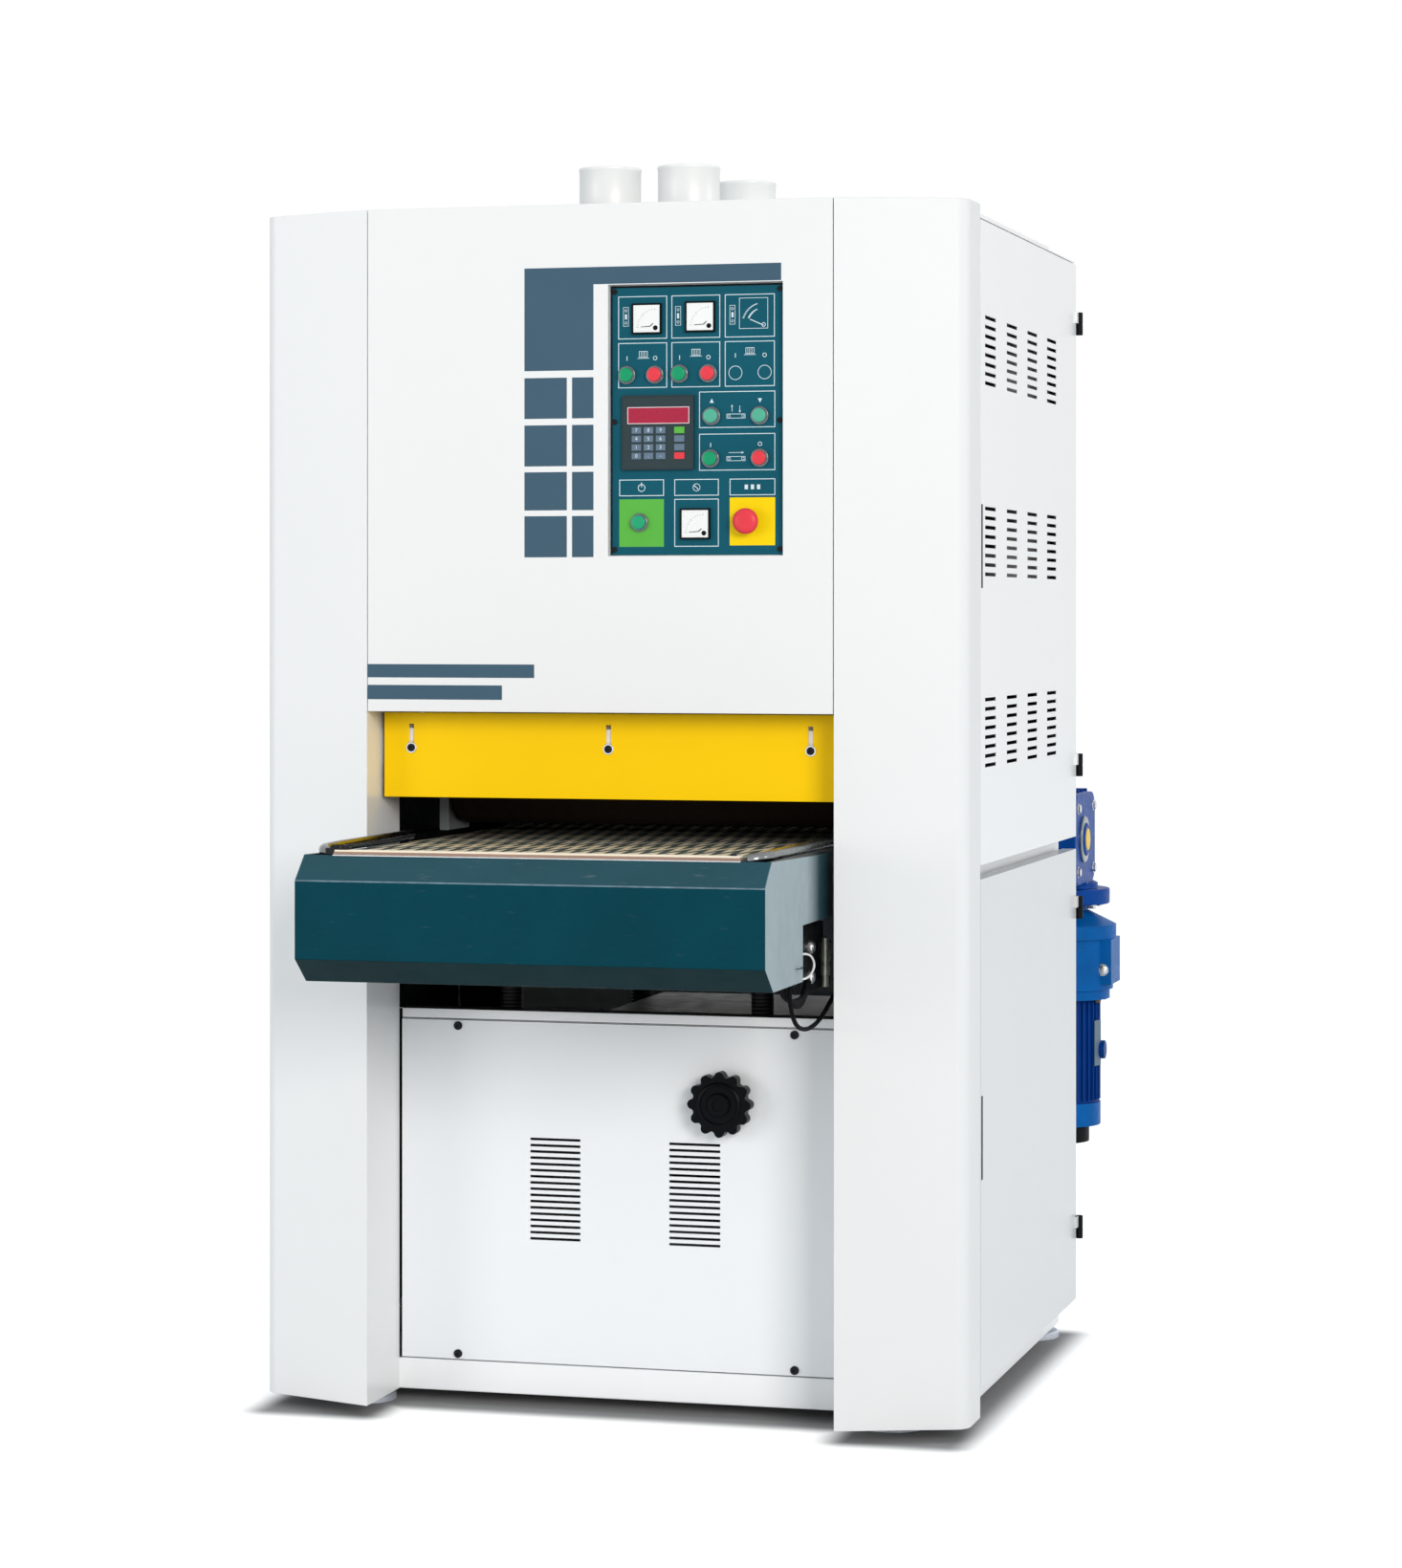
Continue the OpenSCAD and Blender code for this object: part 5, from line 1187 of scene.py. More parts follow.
    gauge_pivot: Flat = (246, 64)
    gauge_arcs: Tuple[Flat, ...] = ((34, 52), (26, 40))
    stop_marks: Tuple[float, ...] = (218.4, 228.2, 238)
    stop_mark: Profile = ((-2.6, -3.6), (2.6, -3.6), (2.6, 3.6), (-2.6, 3.6))
    ink: List[Thing] = field(default_factory=list)

    def spot(self, x: float, z: float, out: float = 0) -> Vector:
        """Find a place right of the plate's left edge, below its top and out from it, in millimetres."""
        return row(self.left + x, self.face - out, self.top - z)

    def block(self, name: str, size: Point, x: float, z: float, out: float, edge: float) -> Thing:
        """Model a box on the plate, its middle at a place and its edges bevelled, in millimetres."""
        return Bench.block(name, size, self.spot(x, z, out), Facing.FRONT, edge)

    def film(self, name: str, box: Box, thick: float, edge: float) -> Thing:
        """Model a thin sheet on the plate.

        Args:
            name: The piece's name.
            box: Its left, bottom, right and top on the plate.
            thick: How far it stands out.
            edge: The bevel.

        Returns:
            The piece.
        """
        x0, z0, x1, z1 = box
        return Bench.slab(name, (self.left + x0, self.face - thick, self.top - z0),
                          (self.left + x1, self.face + 0.4, self.top - z1), edge)

    def bar(self, x0: float, z0: float, x1: float, z1: float) -> None:
        """Print a solid bar between two corners."""
        size = (abs(x1 - x0), abs(z1 - z0), 0.3)
        self.ink.append(self.block("ink", size, (x0 + x1) / 2, (z0 + z1) / 2, 0.08, 0))

    def outline(self, x0: float, z0: float, x1: float, z1: float, line: float = 1.2) -> None:
        """Print an empty box.

        Args:
            x0: Its left edge.
            z0: Its top edge.
            x1: Its right edge.
            z1: Its bottom edge.
            line: How wide its lines are.
        """
        self.bar(x0, z0, x1, z0 + line)
        self.bar(x0, z1 - line, x1, z1)
        self.bar(x0, z0 + line, x0 + line, z1 - line)
        self.bar(x1 - line, z0 + line, x1, z1 - line)

    def ring(self, x: float, z: float, radius: float, line: float, sides: int) -> None:
        """Print a ring round a place, of an outer radius, a line width and so many sides."""
        profile = [(radius - line, 0), (radius, 0), (radius, 0.22), (radius - line, 0.22)]
        self.ink.append(Bench.turned("ink", profile, self.spot(x, z), Facing.FRONT, sides, True))

    def arrow(self, x: float, z: float, points: Sequence[Flat]) -> None:
        """Print a filled outline round a place."""
        self.ink.append(Bench.prism("ink", points, 0.22, self.spot(x, z)))

    def build(self) -> None:
        """Build every piece of the panel."""
        Skin("control_plate", Paints.PLATE, 0.5).build()
        for name, box, finish in self.fields:
            Bench.dress(self.film(name, box, 0.2, 0.1), finish, "frame")
        # The black bars are painted shade along the recess's top and left walls.
        recess_shades = [self.film("seal", box, 0.6, 0.2) for box in self.recess_shades]
        Bench.unite("plate_recess_shade", recess_shades, Paints.BLACK, "frame")
        self.build_print()
        self.build_instruments()
        self.build_keys()
        self.build_buttons()
        self.build_screws()

    def fuse_sign(self, x: float) -> None:
        """Print a slotted holder with its two screws.

        Args:
            x: Its middle.
        """
        self.outline(x - 4.5, 33, x + 4.5, 63, 0.7)
        self.bar(x - 1.6, 44, x + 1.6, 52)
        for z in (38.5, 57.5):
            self.ring(x, z, 2.2, 0.7, 16)

    def motor_sign(self, x: float, z: float) -> None:
        """Print a small motor between two buttons' signs.

        Args:
            x: Its middle.
            z: Its middle.
        """
        self.outline(x - 7, z - 5, x + 7, z + 5, 0.8)
        for offset in (-3.6, -1.2, 1.2, 3.6):
            self.bar(x + offset - 0.3, z - 4.2, x + offset + 0.3, z + 4.2)
        self.bar(x - 9.5, z + 5.8, x + 9.5, z + 6.6)

    def table_sign(self, x: float, z: float) -> None:
        """Print a conveyor table with its two rollers.

        Args:
            x: Its middle.
            z: Its middle.
        """
        self.outline(x - 15, z - 3.6, x + 15, z + 3.6, 0.8)
        for side in (-11, 11):
            self.ring(x + side, z, 2.4, 0.7, 20)

    def gauge_sign(self) -> None:
        """Print a thickness gauge with its two scales."""
        self.outline(*self.gauge, 0.8)
        x, z = self.gauge_pivot
        for radius, sweep in self.gauge_arcs:
            for step in range(12):
                angle = math.radians(135 - sweep / 2 + sweep * step / 11)
                at = (x + radius * math.cos(angle), z - radius * math.sin(angle))
                self.ink.append(self.block("ink", (3, 1.2, 0.3), *at, 0.08, 0))

    def build_print(self) -> None:
        """Print the boxes and signs."""
        for box in self.boxes:
            self.outline(*box)
        for x in self.fuses:
            self.fuse_sign(x)
        for place in self.motors:
            self.motor_sign(*place)
        for place in self.tables:
            self.table_sign(*place)
        self.gauge_sign()
        for x, z in self.ones:
            self.bar(x - 0.6, z - 3.4, x + 0.6, z + 3.4)
        for x, z in self.noughts:
            self.ring(x, z, 3.4, 1, 20)
        for bar in self.bars:
            self.bar(*bar)
        for ring in self.rings:
            self.ring(*ring)
        for arrow in self.arrows:
            self.arrow(*arrow)
        for x in self.stop_marks:
            self.arrow(x, 315, self.stop_mark)
        Bench.unite("plate_print_lines", self.ink, Paints.INK, "frame")

    def meter_ticks(self, x: float, z: float) -> List[Thing]:
        """Model a meter's scale.

        Args:
            x: The needle's pivot.
            z: The needle's pivot.

        Returns:
            The ticks.
        """
        ticks = []
        for step in range(11):
            angle = math.radians(93 + 8.4 * step)
            size = (0.4, 1.8 if step % 5 else 3.4, 0.2)
            tick = Bench.block("tick", size, Vector(), Facing.UP, 0)
            tick.data.transform(Matrix.Rotation(angle - math.pi / 2, 4, "Z"))
            at = self.spot(x + self.scale_r * math.cos(angle), z - self.scale_r * math.sin(angle), 5.1)
            ticks.append(Bench.settle(tick, "tick", at, Facing.FRONT))
        return ticks

    def build_instruments(self) -> None:
        """Build the meters and the controller's case and display."""
        cases, dials, marks = [], [], []
        for x, z in self.meters:
            cases.append(Bench.framed("case", self.meter_case, 2.6, 1.4, self.spot(x, z)))
            cases.append(self.block("case", self.meter_back, x, z, -20, 1))
            dials.append(self.block("dial", self.dial, x, z, 4.7, 0.2))
            pivot = (x + self.meter_pivot, z + self.meter_pivot)
            marks += self.meter_ticks(*pivot)
            marks.append(Bench.prism("needle", self.needle, 0.3, self.spot(*pivot, 5.1)))
            marks.append(Bench.turned("hub", self.hub, self.spot(*pivot, 4.9), Facing.FRONT, 28))
        Bench.unite("meter_cases", cases, Paints.BLACK, "frame", "panel_instruments")
        case = [Bench.framed("case", self.keypad_case, 2.2, 0.8, self.spot(*self.keypad)),
                self.block("case", self.keypad_back, *self.keypad, -30, 1.5)]
        Bench.unite("controller_case", case, Paints.CASE, "frame")
        Bench.unite("meter_dials", dials, Paints.DIAL, "frame")
        Bench.unite("meter_marks", marks, Paints.BLACK, "frame")
        rim = Bench.framed("display_rim", self.display_rim, 1.3, 0.8, self.spot(*self.display, 6))
        Bench.dress(rim, Paints.RIM, "frame")
        glass = self.block("display_window", self.display_glass, *self.display, 6.8, 0.1)
        Bench.dress(glass, Paints.WINDOW, "frame")

    def build_keys(self) -> None:
        """Build the keypad's keys and their digits."""
        keys, digits = [], []
        first, last = self.key_columns
        across, down = self.key_step
        for index, sign in enumerate(self.key_signs):
            at = (first + across * (index % 3), self.key_row + down * (index // 3))
            keys.append(self.block("key", self.key, *at, self.key_out, 0.6))
            digits.append(Bench.letter("digit", sign, 5.6, self.spot(*at, 7.45)))
        names = ("enter_key", "key", "key", "clear_key")
        side = [self.block(name, self.side_key, last, self.key_row + down * step, self.key_out, 0.6)
                for step, name in enumerate(names)]
        Bench.unite("keypad_keys", keys + side[1:3], Paints.KEY, "frame")
        Bench.unite("keypad_digits", digits, Paints.INK, "frame")
        Bench.dress(side[0], Paints.FIELD_GREEN, "frame")
        Bench.dress(side[3], Paints.RED, "frame")

    def build_button(self, button: Button, name: str, collar: Profile, cap: Profile,
                     sides: int) -> List[Thing]:
        """Turn a button's cap, its collar and its contacts.

        Args:
            button: The button.
            name: The cap's name.
            collar: The collar's profile.
            cap: The cap's profile.
            sides: The cap's sides.

        Returns:
            The collar and the contacts.
        """
        at = self.spot(button.x, button.z)
        piece = Bench.turned(name, cap, at, Facing.FRONT, sides)
        Bench.dress(piece, button.finish, body_of_node(button.node), button.node)
        return [Bench.turned("collar", collar, at, Facing.FRONT, 40, True),
                Bench.turned("contacts", self.contacts, at, Facing.FRONT, 24)]

    def build_buttons(self) -> None:
        """Build the push buttons and the stop mushroom."""
        rings = []
        for button in self.buttons:
            rings += self.build_button(button, button.node + "_cap_face", self.collar, self.cap, 36)
        rings += self.build_button(self.stop, "stop_mushroom", self.stop_collar, self.mushroom, 48)
        Bench.unite("button_rings", rings, Paints.COLLAR, "frame", "button_collars")

    def build_screws(self) -> None:
        """Turn the screws of the plate, the lower panel and the yellow guard."""
        made = [Bench.socket_screw("screw", 4.4, 2.4, self.spot(x, z), Facing.FRONT)
                for z in self.screw_zs for x in self.screw_xs]
        made += [Bench.socket_screw("screw", 7, 4, row(x, 156, z), Facing.FRONT)
                 for x in self.panel_xs for z in self.panel_zs]
        made += [Bench.socket_screw("screw", 6.4, 4.4, row(x, 64.7, self.guard_z), Facing.FRONT)
                 for x in GUARD_BOLT_XS]
        Bench.unite("screw_heads", made, Paints.DARK, "frame", "cover_screws")
        rings = [Bench.turned("washer", self.washer, row(x, 64.8, self.guard_z), Facing.FRONT, 32, True)
                 for x in GUARD_BOLT_XS]
        Bench.unite("screw_washers", rings, Paints.CHROME, "frame")


@dataclass
class FeedBed:
    """The lifting table with its belt, rollers, guard and edge strips."""

    skins: Tuple[Skin, ...] = (
        Skin("infeed_guard", Paints.YELLOW), Skin("feed_table", Paints.BED, 1.5),
        Skin("conveyor_belt", Paints.BELT, 0.6), Skin("take_up_blocks", Paints.DARK, 1.2),
        Skin("jack_screws", Paints.SCREW, 1), Skin("infeed_roller", Paints.STEEL, 1),
        Skin("drive_roller", Paints.RUBBER, 1),
    )
    strips: Tuple[Plate, ...] = (
        Plate("front_strip", (-316, -324, 914.6), (316, -306, 918.4), Paints.STRIP, "bed", 0.8),
        Plate("strip_lip", (-317, -325, 912.4), (317, -305, 914.6), Paints.STEEL, "bed", 0.6),
        Plate("strip_lath", (-315, -323, 918.4), (315, -307, 921.6), Paints.LATH, "bed"),
    )
    cheek_x: float = 0.3635
    guide: Tuple[Point, ...] = (
        (322, -304, 914), (336, -299, 917), (345, -284, 919.2), (348, -250, 920.2), (349, -60, 920.4),
        (349, 120, 920.4),
    )
    guide_r: float = 8.6

    def build(self) -> None:
        """Build every piece of the bed."""
        for skin in self.skins:
            skin.build()
        guard = Skin("roller_guard", Paints.TEAL, 1.3).build()
        # The guard's upward faces get painted light, its downward faces painted shade, its sloping faces
        # painted light and its side cheeks painted shade towards the pillars.
        Bench.repaint(guard, Paints.TEAL_TOP, lambda face: face.normal.z > 0.7)
        Bench.repaint(guard, Paints.TEAL_LOW, lambda face: face.normal.z < -0.3)
        Bench.repaint(guard, Paints.TEAL_EDGE, lambda face: 0.1 < face.normal.z < 0.7)
        Bench.repaint(guard, Paints.CHEEK,
                      lambda face: abs(face.normal.x) > 0.8 and abs(face.center.x) > self.cheek_x)
        for strip in self.strips:
            strip.build()
        self.build_clamps()
        guides = [Bench.wire("guide", [(side * x, y, z) for x, y, z in self.guide], self.guide_r)
                  for side in (-1, 1)]
        Bench.unite("edge_guides", guides, Paints.GUIDE, "bed")

    def build_clamps(self) -> None:
        """Clamp the front strip at its ends."""
        made = [Bench.slab("clamp", (-330, -322, 914.2), (-294, -300, 924), 1.5)]
        made += [Bench.hexagon("clamp", 6, 5, row(x, -311, 924), Facing.UP) for x in (-318, -302)]
        made.append(Bench.socket_screw("clamp", 5, 3, row(304, -315, 921.6), Facing.UP))
        Bench.unite("strip_clamps", made, Paints.DARK, "bed")


@dataclass
class StopSwitch:
    """The stop switch on the table's right side, its bolts, wire and hanging cable."""

    route: Tuple[Point, ...] = (
        (350, -160, 723), (350, -160, 712), (350, -159, 700), (351, -154, 682), (352, -143, 667),
        (353, -125, 655), (354, -100, 648), (355, -70, 645), (356, -38, 646), (357, -5, 651),
        (358, 28, 660), (359, 60, 672), (360, 90, 684), (360, 118, 694), (360, 142, 699),
        (360, 163, 697), (360, 178, 688), (360, 186, 675), (360, 188, 666), (360, 188, 660),
    )
    radius: float = 3.5
    dome: Profile = ((10.4, 0), (10.4, 4.4), (9.4, 7.4), (6.6, 9.4), (3, 10))
    barrel: Profile = ((5, -9), (5.4, 8), (7.4, 9), (7.4, 24), (6.6, 25), (6.6, 30), (7.6, 31), (7.6, 58),
                       (6.4, 60), (6.4, 66), (4, 67))
    loop: Tuple[Point, ...] = (
        (342, -52, 757), (347, -32, 755), (350, -14, 747), (351, -8, 737), (350, -16, 727), (347, -34, 720),
        (342, -52, 718),
    )
    lead_shifts: Tuple[float, ...] = (0, 9, 18)

    def build(self) -> None:
        """Build the switch and its cable."""
        self.build_cable()
        Skin("stop_switch", Paints.BLACK, 1).build()
        bolts = [Bench.turned("bolt", self.dome, row(341.6, -5, z), Facing.RIGHT, 28) for z in (718, 764)]
        Bench.unite("switch_bolts", bolts, Paints.STEEL, "bed")
        barrel = Bench.turned("switch_barrel", self.barrel, row(353, 58, 707), Facing.UP, 28)
        Bench.dress(barrel, Paints.BARREL, "bed")
        Bench.dress(Bench.wire("switch_wire", self.loop, 1.8), Paints.GLAND, "bed")
        leads = []
        for shift in self.lead_shifts:
            path = [(338, -182 + shift, 724 + shift), (341, -168 + shift, 706),
                    (344, -138 + shift, 694 - shift / 3), (346, -96, 690 - shift / 2),
                    (346, -52, 697 - shift / 3), (344, -28 + shift, 712)]
            leads.append(Bench.wire("lead", path, 4.2))
        Bench.unite("switch_leads", leads, Paints.CABLE, "bed")

    @staticmethod
    def centreline(curve: Thing) -> List[Vector]:
        """Follow a curve's own line closely.

        Args:
            curve: The curve, of one spline.

        Returns:
            Points along it in metres.
        """
        knots = curve.data.splines[0].bezier_points
        line = [knots[0].co.copy()]
        for a, b in zip(knots[:-1], knots[1:]):
            line += interpolate_bezier(a.co, a.handle_right, b.handle_left, b.co, 7)[1:]
        return line

    def build_cable(self) -> None:
        """Hang the cable between the table's gland and the sill's gland."""
        curve = Bench.curve("switch_cable_line", [row(*point) for point in self.route], self.radius)
        line = self.centreline(curve)
        length = sum((b - a).length for a, b in zip(line[:-1], line[1:]))
        cable = Bench.to_mesh(curve)
        cable.data.materials.append(Paints.CABLE.material())
        row(*self.route[0])
        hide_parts("switch_cable")
        row(*self.route[0])
        row(*self.route[-1])
        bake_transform(cable)
        LOG.info("%s in %s from bed to frame", cable.name, Paints.CABLE.name)


@dataclass
class FeedDrive:
    """The worm gearbox, variator and feed motor at the rear right."""

    axis_x: float = 484
    axis_y: float = 1391
    output_y: float = 1316
    output_z: float = 862
    face_x: float = 540
    foot_top: float = 0.3715
    plug_top: float = 0.3285
    output_ring: Profile = ((30.6, 0), (43, 0), (43, 3.6), (41, 5.6), (33, 6.4), (30.6, 6))
    output_seal: Profile = ((30.4, 0), (30.4, 4.4), (29, 5.4), (21, 5.4), (20, 4.6))
    output_cap: Profile = ((20.4, 3), (20.4, 9), (19.2, 10.4), (13, 11.6), (5, 12))
    oil_plug: Profile = ((10, 0), (10, 6), (8, 7), (8, 12), (6, 14))
    rib_ys: Tuple[float, ...] = (1250, 1290, 1342, 1384, 1430)

    def build(self) -> None:
        """Build every piece of the drive."""
        Skin("worm_gearbox", Paints.GEAR_BLUE, 3).build()
        Skin("feed_variator", Paints.BLUE, 0).build()
        motor = Skin("feed_motor", Paints.MOTOR_BLUE, 1.6).build()
        Bench.repaint(motor, Paints.BLUE, lambda face: face.center.z < self.foot_top)
        Bench.repaint(motor, Paints.BLACK, lambda face: face.center.z < self.plug_top)
        at = row(self.face_x, self.output_y, self.output_z)
        for name, profile, hollow, finish in (("output_ring", self.output_ring, True, Paints.COLLAR),
                                              ("output_seal", self.output_seal, False, Paints.BLACK),
                                              ("output_cap", self.output_cap, False, Paints.BRASS)):
            Bench.dress(Bench.turned(name, profile, at, Facing.RIGHT, 48, hollow), finish, "bed")
        self.build_bolts()
        self.build_fins()

    def orbit(self, name: str, thing: Thing, count: int, start: float) -> Thing:
        """Copy a piece so many times round the motor's axis, from a turn in degrees."""
        return Bench.around(name, thing, row(self.axis_x, self.axis_y, 0), "Z", count, start)

    def build_bolts(self) -> None:
        """Bolt the covers and flanges together."""
        x, y = self.axis_x, self.axis_y
        made = [Bench.hexagon("bolt", 8, 6, row(self.face_x, at, z), Facing.RIGHT)
                for at in (1262, 1424) for z in (804, 920)]
        flange = Bench.hexagon("bolt", 8, 7, row(x + 76, y, 739), Facing.DOWN)
        made.append(self.orbit("bolt", flange, 6, 30))
        made.append(Bench.turned("plug", self.oil_plug, row(x, y, 945.6), Facing.UP, 6))
        made.append(Bench.hexagon("plug", 9, 4, row(572, y - 50, 620), Facing.FRONT))
        Bench.unite("drive_bolts", made, Paints.STEEL, "bed")
        bolt = Bench.hexagon("rim_bolt", 6, 6, row(x + 82, y, 564), Facing.DOWN)
        Bench.dress(self.orbit("rim_bolts", bolt, 8, 22.5), Paints.BROWN, "bed")

    def build_fins(self) -> None:
        """Cast the motor's cooling fins and the gear case's ribs, and fit the blank plate."""
        x, y = self.axis_x, self.axis_y
        fin = Bench.slab("fin", (x + 69, y - 1.3, 376), (x + 75, y + 1.3, 560), 0.8)
        fins = [self.orbit("fin", fin, 36, 5)]
        fins += [Bench.slab("rib", (self.face_x - 100, at - 2, 945), (self.face_x - 12, at + 2, 951), 1.2)
                 for at in self.rib_ys]
        Bench.unite("drive_fins", fins, Paints.MOTOR_BLUE, "bed")
        sign = Bench.slab("plate", (x + 75, y - 14, 440), (x + 76.4, y + 14, 524), 0.4)
        Bench.dress(self.orbit("rating_plate", sign, 1, -14), Paints.KEY, "bed")


@dataclass
class Heads:
    """The sanding heads, their motors and belts, inside the cabinet."""

    skins: Tuple[Skin, ...] = (
        Skin("head_beams", Paints.HEAD, 2), Skin("sanding_belts", Paints.ABRASIVE, 0.4),
        Skin("sanding_pad", Paints.DARK, 1.5), Skin("main_motors", Paints.MOTOR, 2),
        Skin("drive_belts", Paints.RUBBER, 1.2), Skin("pressure_shoes", Paints.DARK, 1.5),
        Skin("front_drum", Paints.RUBBER, 1.2), Skin("rear_drum", Paints.RUBBER, 1.2),
        Skin("front_motor_pulley", Paints.IRON, 1.2), Skin("rear_motor_pulley", Paints.IRON, 1.2),
        Skin("front_tension_roller", Paints.ALLOY, 1.2), Skin("rear_tension_roller", Paints.ALLOY, 1.2),
        Skin("front_tension_yoke", Paints.HEAD, 1.6), Skin("rear_tension_yoke", Paints.HEAD, 1.6),
    )
    journal_reach: float = 0.0215
    journal_scale: float = 0.985
    motor_ys: Flat = (340, 700)
    motor_z: float = 220
    fan_cover: Profile = ((101, 0), (103, 2), (103, 52), (96, 58), (60, 60), (20, 60.4))
    rib_xs: Tuple[float, ...] = (403, 412.5, 422)
    rib_r: float = 84.2

    def build(self) -> None:
        """Build the heads and the motors' fins and fan covers."""
        for skin in self.skins:
            piece = skin.build()
            if skin.node.endswith("_drum"):
                self.ease(piece)
        fins: List[Thing] = []
        z = self.motor_z
        for y in self.motor_ys:
            fin = Bench.slab("fin", (0, y - 1.5, z + 99), (316, y + 1.5, z + 105), 0.9)
            fins.append(Bench.around("fin", fin, row(0, y, z), "X", 32, 5.6))
            fins.append(Bench.turned("fan_cover", self.fan_cover, row(-4, y, z), Facing.LEFT, 40))
        Bench.unite("motor_fins", fins, Paints.MOTOR, "frame")
        turns = [math.tau * i / 36 for i in range(19)]
        ribs = [Bench.wire("rib", [(x, y + self.rib_r * math.cos(a), z + self.rib_r * math.sin(a))
                                   for a in turns], 1)
                for y in self.motor_ys for x in self.rib_xs]
        Bench.unite("belt_ribs", ribs, Paints.RUBBER, "frame")

    def ease(self, drum: Thing) -> None:
        """Narrow a drum's journals a little, so that they turn freely in their bearings.

        Args:
            drum: The drum, whose axis lies along X.
        """
        spots = [vertex.co for vertex in drum.data.vertices]
        y = (min(c.y for c in spots) + max(c.y for c in spots)) / 2
        z = (min(c.z for c in spots) + max(c.z for c in spots)) / 2
        Bench.only(drum)
        bpy.ops.object.mode_set(mode="EDIT")
        bpy.ops.mesh.select_mode(type="VERT")
        bpy.ops.mesh.select_all(action="DESELECT")
        bpy.ops.object.mode_set(mode="OBJECT")
        for vertex in drum.data.vertices:
            vertex.select = math.hypot(vertex.co.y - y, vertex.co.z - z) < self.journal_reach
        bpy.ops.object.mode_set(mode="EDIT")
        narrow = (1, self.journal_scale, self.journal_scale)
        bpy.ops.transform.resize(value=narrow, center_override=(0, y, z))
        bpy.ops.object.mode_set(mode="OBJECT")


@dataclass
class TableLift:
    """The jacks, line shafts, chain, lift motor and hand knob."""

    skins: Tuple[Skin, ...] = (
        Skin("jack_housings", Paints.MOTOR, 2.5), Skin("lift_motor", Paints.MOTOR, 2),
        Skin("right_lift_shaft", Paints.STEEL), Skin("left_lift_shaft", Paints.STEEL),
        Skin("table_knob", Paints.KNOB, 2.4),
    )
    shaft_x: float = 166
    shaft_z: float = 501
    knob_y: float = 116.2
    knob_rim: Profile = ((30, 0), (36, 0), (36, 1.6), (34, 3), (31, 3.4), (30, 2.6))
    knob_hub: Profile = ((19, 0), (19, 4), (17, 6), (12, 6.6), (9, 6.6), (8.6, 4.4))
    jack_x: float = 211
    jack_ys: Flat = (221, 983)
    jack_bolts: Tuple[Flat, ...] = ((-62, -34), (-62, 34), (28, -34), (28, 34))
    chain_y: float = 520
    chain_r: float = 42.3
    pitch: float = 12.7
    link_plate: Profile = ((-8.6, -2), (-6.4, -3.8), (6.4, -3.8), (8.6, -2), (8.6, 2), (6.4, 3.8),
                           (-6.4, 3.8), (-8.6, 2))
    link_pin: Profile = ((2.2, -4.8), (2.2, 4.8))
    link_roller: Profile = ((3.6, -3), (3.8, -2.6), (3.8, 2.6), (3.6, 3))

    def build(self) -> None:
        """Build the lift, with the knob's dished face and the jacks' bolts."""
        for skin in self.skins:
            skin.build()
        at = row(self.shaft_x, self.knob_y, self.shaft_z)
        face = [Bench.turned("knob_face", self.knob_rim, at, Facing.FRONT, 48, True),
                Bench.turned("knob_face", self.knob_hub, at, Facing.FRONT, 36)]
        Bench.unite("knob_face", face, Paints.KNOB, "right_shaft")
        self.build_chain()
        bolts = [Bench.hexagon("bolt", 6.5, 6, row(side * (self.jack_x + dx), y + dy, 546), Facing.UP)
                 for side in (-1, 1) for y in self.jack_ys for dx, dy in self.jack_bolts]
        Bench.unite("jack_bolts", bolts, Paints.STEEL, "frame")

    def link_move(self, run: float) -> Matrix:
        """Find where a link of the chain lies.

        Args:
            run: Millimetres along the chain from its upper left end.

        Returns:
            What is applied to the link.
        """
        half, straight = math.pi * self.chain_r, 2 * self.shaft_x
        if run < straight:
            u, v, turn = -self.shaft_x + run, self.chain_r, 0
        elif run < straight + half:
            turn = -(run - straight) / self.chain_r
            u = self.shaft_x + self.chain_r * math.sin(-turn)
            v = self.chain_r * math.cos(turn)
        elif run < 2 * straight + half:
            u, v, turn = self.shaft_x - (run - straight - half), -self.chain_r, math.pi
        else:
            turn = math.pi - (run - 2 * straight - half) / self.chain_r
            u = -self.shaft_x - self.chain_r * math.sin(turn)
            v = -self.chain_r * math.cos(math.pi - turn)
        place = row(u, self.chain_y, self.shaft_z + v)
        return Matrix.Translation(place) @ Matrix.Rotation(-turn, 4, "Y")

    def build_chain(self) -> None:
        """Lay the roller chain link by link round the two sprockets."""
        total = 2 * (math.pi * self.chain_r + 2 * self.shaft_x)
        count = int(round(total / self.pitch))
        plate = Bench.prism("link", self.link_plate, 1.4, Vector((0, -0.0032, 0)))
        pair = Bench.copies("link", plate, [Matrix(), Matrix.Translation((0, 0.0078, 0))])
        end = Vector((0.0063, 0, 0))
        link = Bench.join("link", [pair, Bench.turned("link", self.link_pin, end, Facing.FRONT, 10),
                                   Bench.turned("link", self.link_roller, end, Facing.FRONT, 12)])
        moves = [self.link_move(total * i / count) for i in range(count)]
        chain = Bench.copies("lift_chain_links", link, moves)
        Bench.dress(chain, Paints.DARK, "frame", "lift_chain")


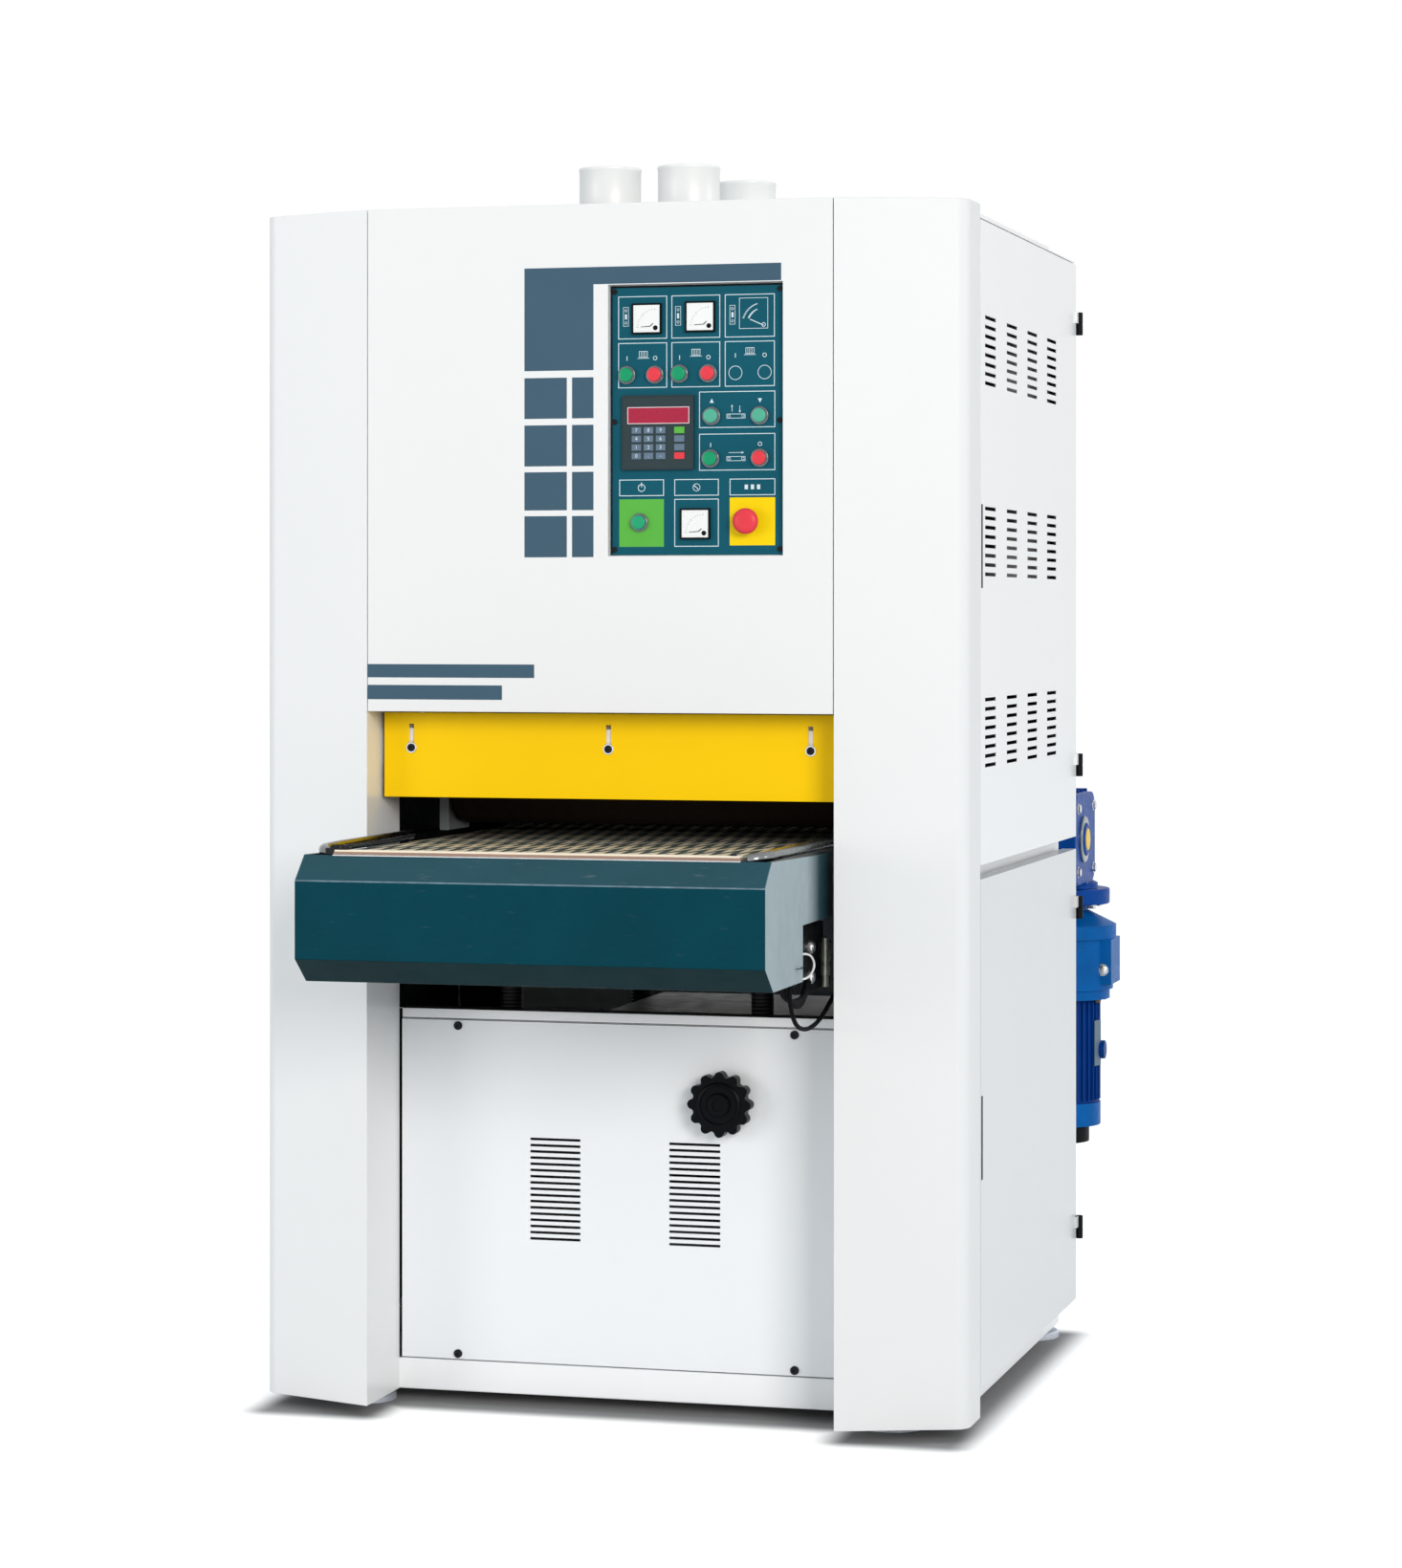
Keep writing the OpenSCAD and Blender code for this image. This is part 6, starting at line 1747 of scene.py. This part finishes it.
@dataclass
class Studio:
    """The camera, the lamps, the floor and the white surround."""

    eye: Point = (1.8094, -6.6086, 1.2752)
    yaw: float = 15.19
    lens: float = 92.73
    shift: Flat = (0, -0.108)
    aim: Point = (0, 0, 0.9)
    lamps: Tuple[Tuple[str, Point, float, float], ...] = (
        ("key_lamp", (8.3, -11.9, 4.8), 5, 1070), ("front_lamp", (-7.6, -9, 2.2), 4, 210),
        ("side_lamp", (14, 2, 4), 4, 200),
    )
    ambient: float = 0.60
    cool: Rgb = (0.90, 0.98, 1.04)
    warm: Rgb = (1, 0.94, 0.88)
    white: Rgb = (1, 1, 1)
    footprints: Tuple[Tuple[Flat, Flat], ...] = (((-552, 552), (128, 1030)), ((395, 552), (28, 150)))
    shadow_reach: float = 0.065
    # The floor's colour at the machine's footprint is a painted contact shadow; away from it, plain pale.
    floor_shadow_tone: Rgb = (0.34, 0.34, 0.345)
    floor_pale: Rgb = (0.72, 0.72, 0.72)
    floor_glow: float = 0.62

    def build(self) -> None:
        """Set the studio up."""
        self.build_camera()
        self.build_lamps()
        self.build_world()
        self.build_floor()

    def build_camera(self) -> None:
        """Stand the camera where the photograph was taken."""
        turn = (math.radians(90), 0, math.radians(self.yaw))
        bpy.ops.object.camera_add(location=self.eye, rotation=turn)
        camera = bpy.context.object
        camera.data.lens = self.lens
        camera.data.sensor_width = 36
        camera.data.shift_x, camera.data.shift_y = self.shift
        camera.data.clip_end = 200
        bpy.context.scene.camera = camera

    def build_lamps(self) -> None:
        """Hang the soft lamps."""
        for name, place, size, power in self.lamps:
            bpy.ops.object.light_add(type="AREA", location=place)
            lamp = bpy.context.object
            lamp.name = name
            lamp.data.size = size
            lamp.data.energy = power
            lamp.data.color = self.warm
            aim = Vector(self.aim) - Vector(place)
            lamp.rotation_euler = aim.to_track_quat("-Z", "Y").to_euler()

    @staticmethod
    def seen(tree: Tree) -> Socket:
        """Give one for the rays that should meet the plain white surround.

        Args:
            tree: The nodes of the world or the floor.

        Returns:
            One for camera, glossy and transmission rays.
        """
        rays = tree.add("ShaderNodeLightPath").outputs
        direct = tree.maths("MAXIMUM", rays["Is Camera Ray"], rays["Is Glossy Ray"])
        return tree.maths("MAXIMUM", direct, rays["Is Transmission Ray"])

    def build_world(self) -> None:
        """Make the surround white to the camera and softer as light."""
        world = bpy.data.worlds.new("surround")
        bpy.context.scene.world = world
        world.use_nodes = True
        tree = Tree(world.node_tree)
        soft = tree.find("BACKGROUND")
        tree.fill(soft, {"Color": self.cool, "Strength": self.ambient})
        plain = tree.add("ShaderNodeBackground", {"Color": self.white})
        inputs = {0: self.seen(tree), 1: soft.outputs[0], 2: plain.outputs[0]}
        mixed = tree.add("ShaderNodeMixShader", inputs)
        tree.fill(tree.find("OUTPUT_WORLD"), {"Surface": mixed.outputs[0]})

    def clear_of_machine(self, tree: Tree) -> Socket:
        """Measure how far a place on the floor is from the machine's footprint.

        Args:
            tree: The floor's nodes.

        Returns:
            Nothing at the machine, growing to one away from it.
        """
        x, y, _ = tree.parts()
        across = tree.maths("ABSOLUTE", x)
        far = []
        for spans in self.footprints:
            gaps = []
            for place, shift, (low, high) in zip((across, y), (0, MID_Y), spans):
                middle = ((low + high) / 2 - shift) / 1000
                off = tree.maths("ABSOLUTE", tree.maths("SUBTRACT", place, middle))
                gap = tree.maths("MAXIMUM", tree.maths("SUBTRACT", off, (high - low) / 2000))
                gaps.append(tree.maths("POWER", gap, 2))
            far.append(tree.maths("SQRT", tree.maths("ADD", *gaps)))
        near = tree.maths("MINIMUM", *far)
        return tree.remap(near, 0, self.shadow_reach, interpolation_type="SMOOTHSTEP")

    def build_floor(self) -> None:
        """Lay the pale floor, which keeps the machine's shadow and is painted darker near its footprint as
        a contact shadow.
        """
        floor = Bench.fresh(bpy.ops.mesh.primitive_plane_add, size=80)
        floor.name = "studio_floor"
        material = bpy.data.materials.new("floor_paper")
        material.use_nodes = True
        tree = Tree(material.node_tree)
        clear = self.clear_of_machine(tree)
        glow = tree.maths("MULTIPLY", self.seen(tree), tree.maths("MULTIPLY", clear, self.floor_glow))
        # The floor's colour darkens near the footprint: a painted contact shadow, added to the real shadow.
        colour = tree.mix(clear, self.floor_shadow_tone, self.floor_pale)
        tree.fill(tree.find("BSDF_PRINCIPLED"), {
            "Base Color": colour, "Roughness": 0.9, "Specular IOR Level": 0,
            "Emission Color": self.white, "Emission Strength": glow,
        })
        floor.data.materials.append(material)
        floor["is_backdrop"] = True


def main() -> None:
    """Build the studio and every sub-assembly in order."""
    logging.basicConfig(level=logging.INFO, format="%(name)s: %(message)s")
    bpy.context.scene.view_settings.view_transform = "Standard"
    for kind in (Studio, StopSwitch, Cabinet, ControlPanel, FeedBed, FeedDrive, Heads, TableLift):
        LOG.info("building %s", kind.__name__)
        kind().build()
    boxes = {name: [[float(c) for c in corner] for corner in box]
             for name, box in (("cad", CAD_BOX), ("visual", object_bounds()))}


if __name__ == "__main__":
    main()
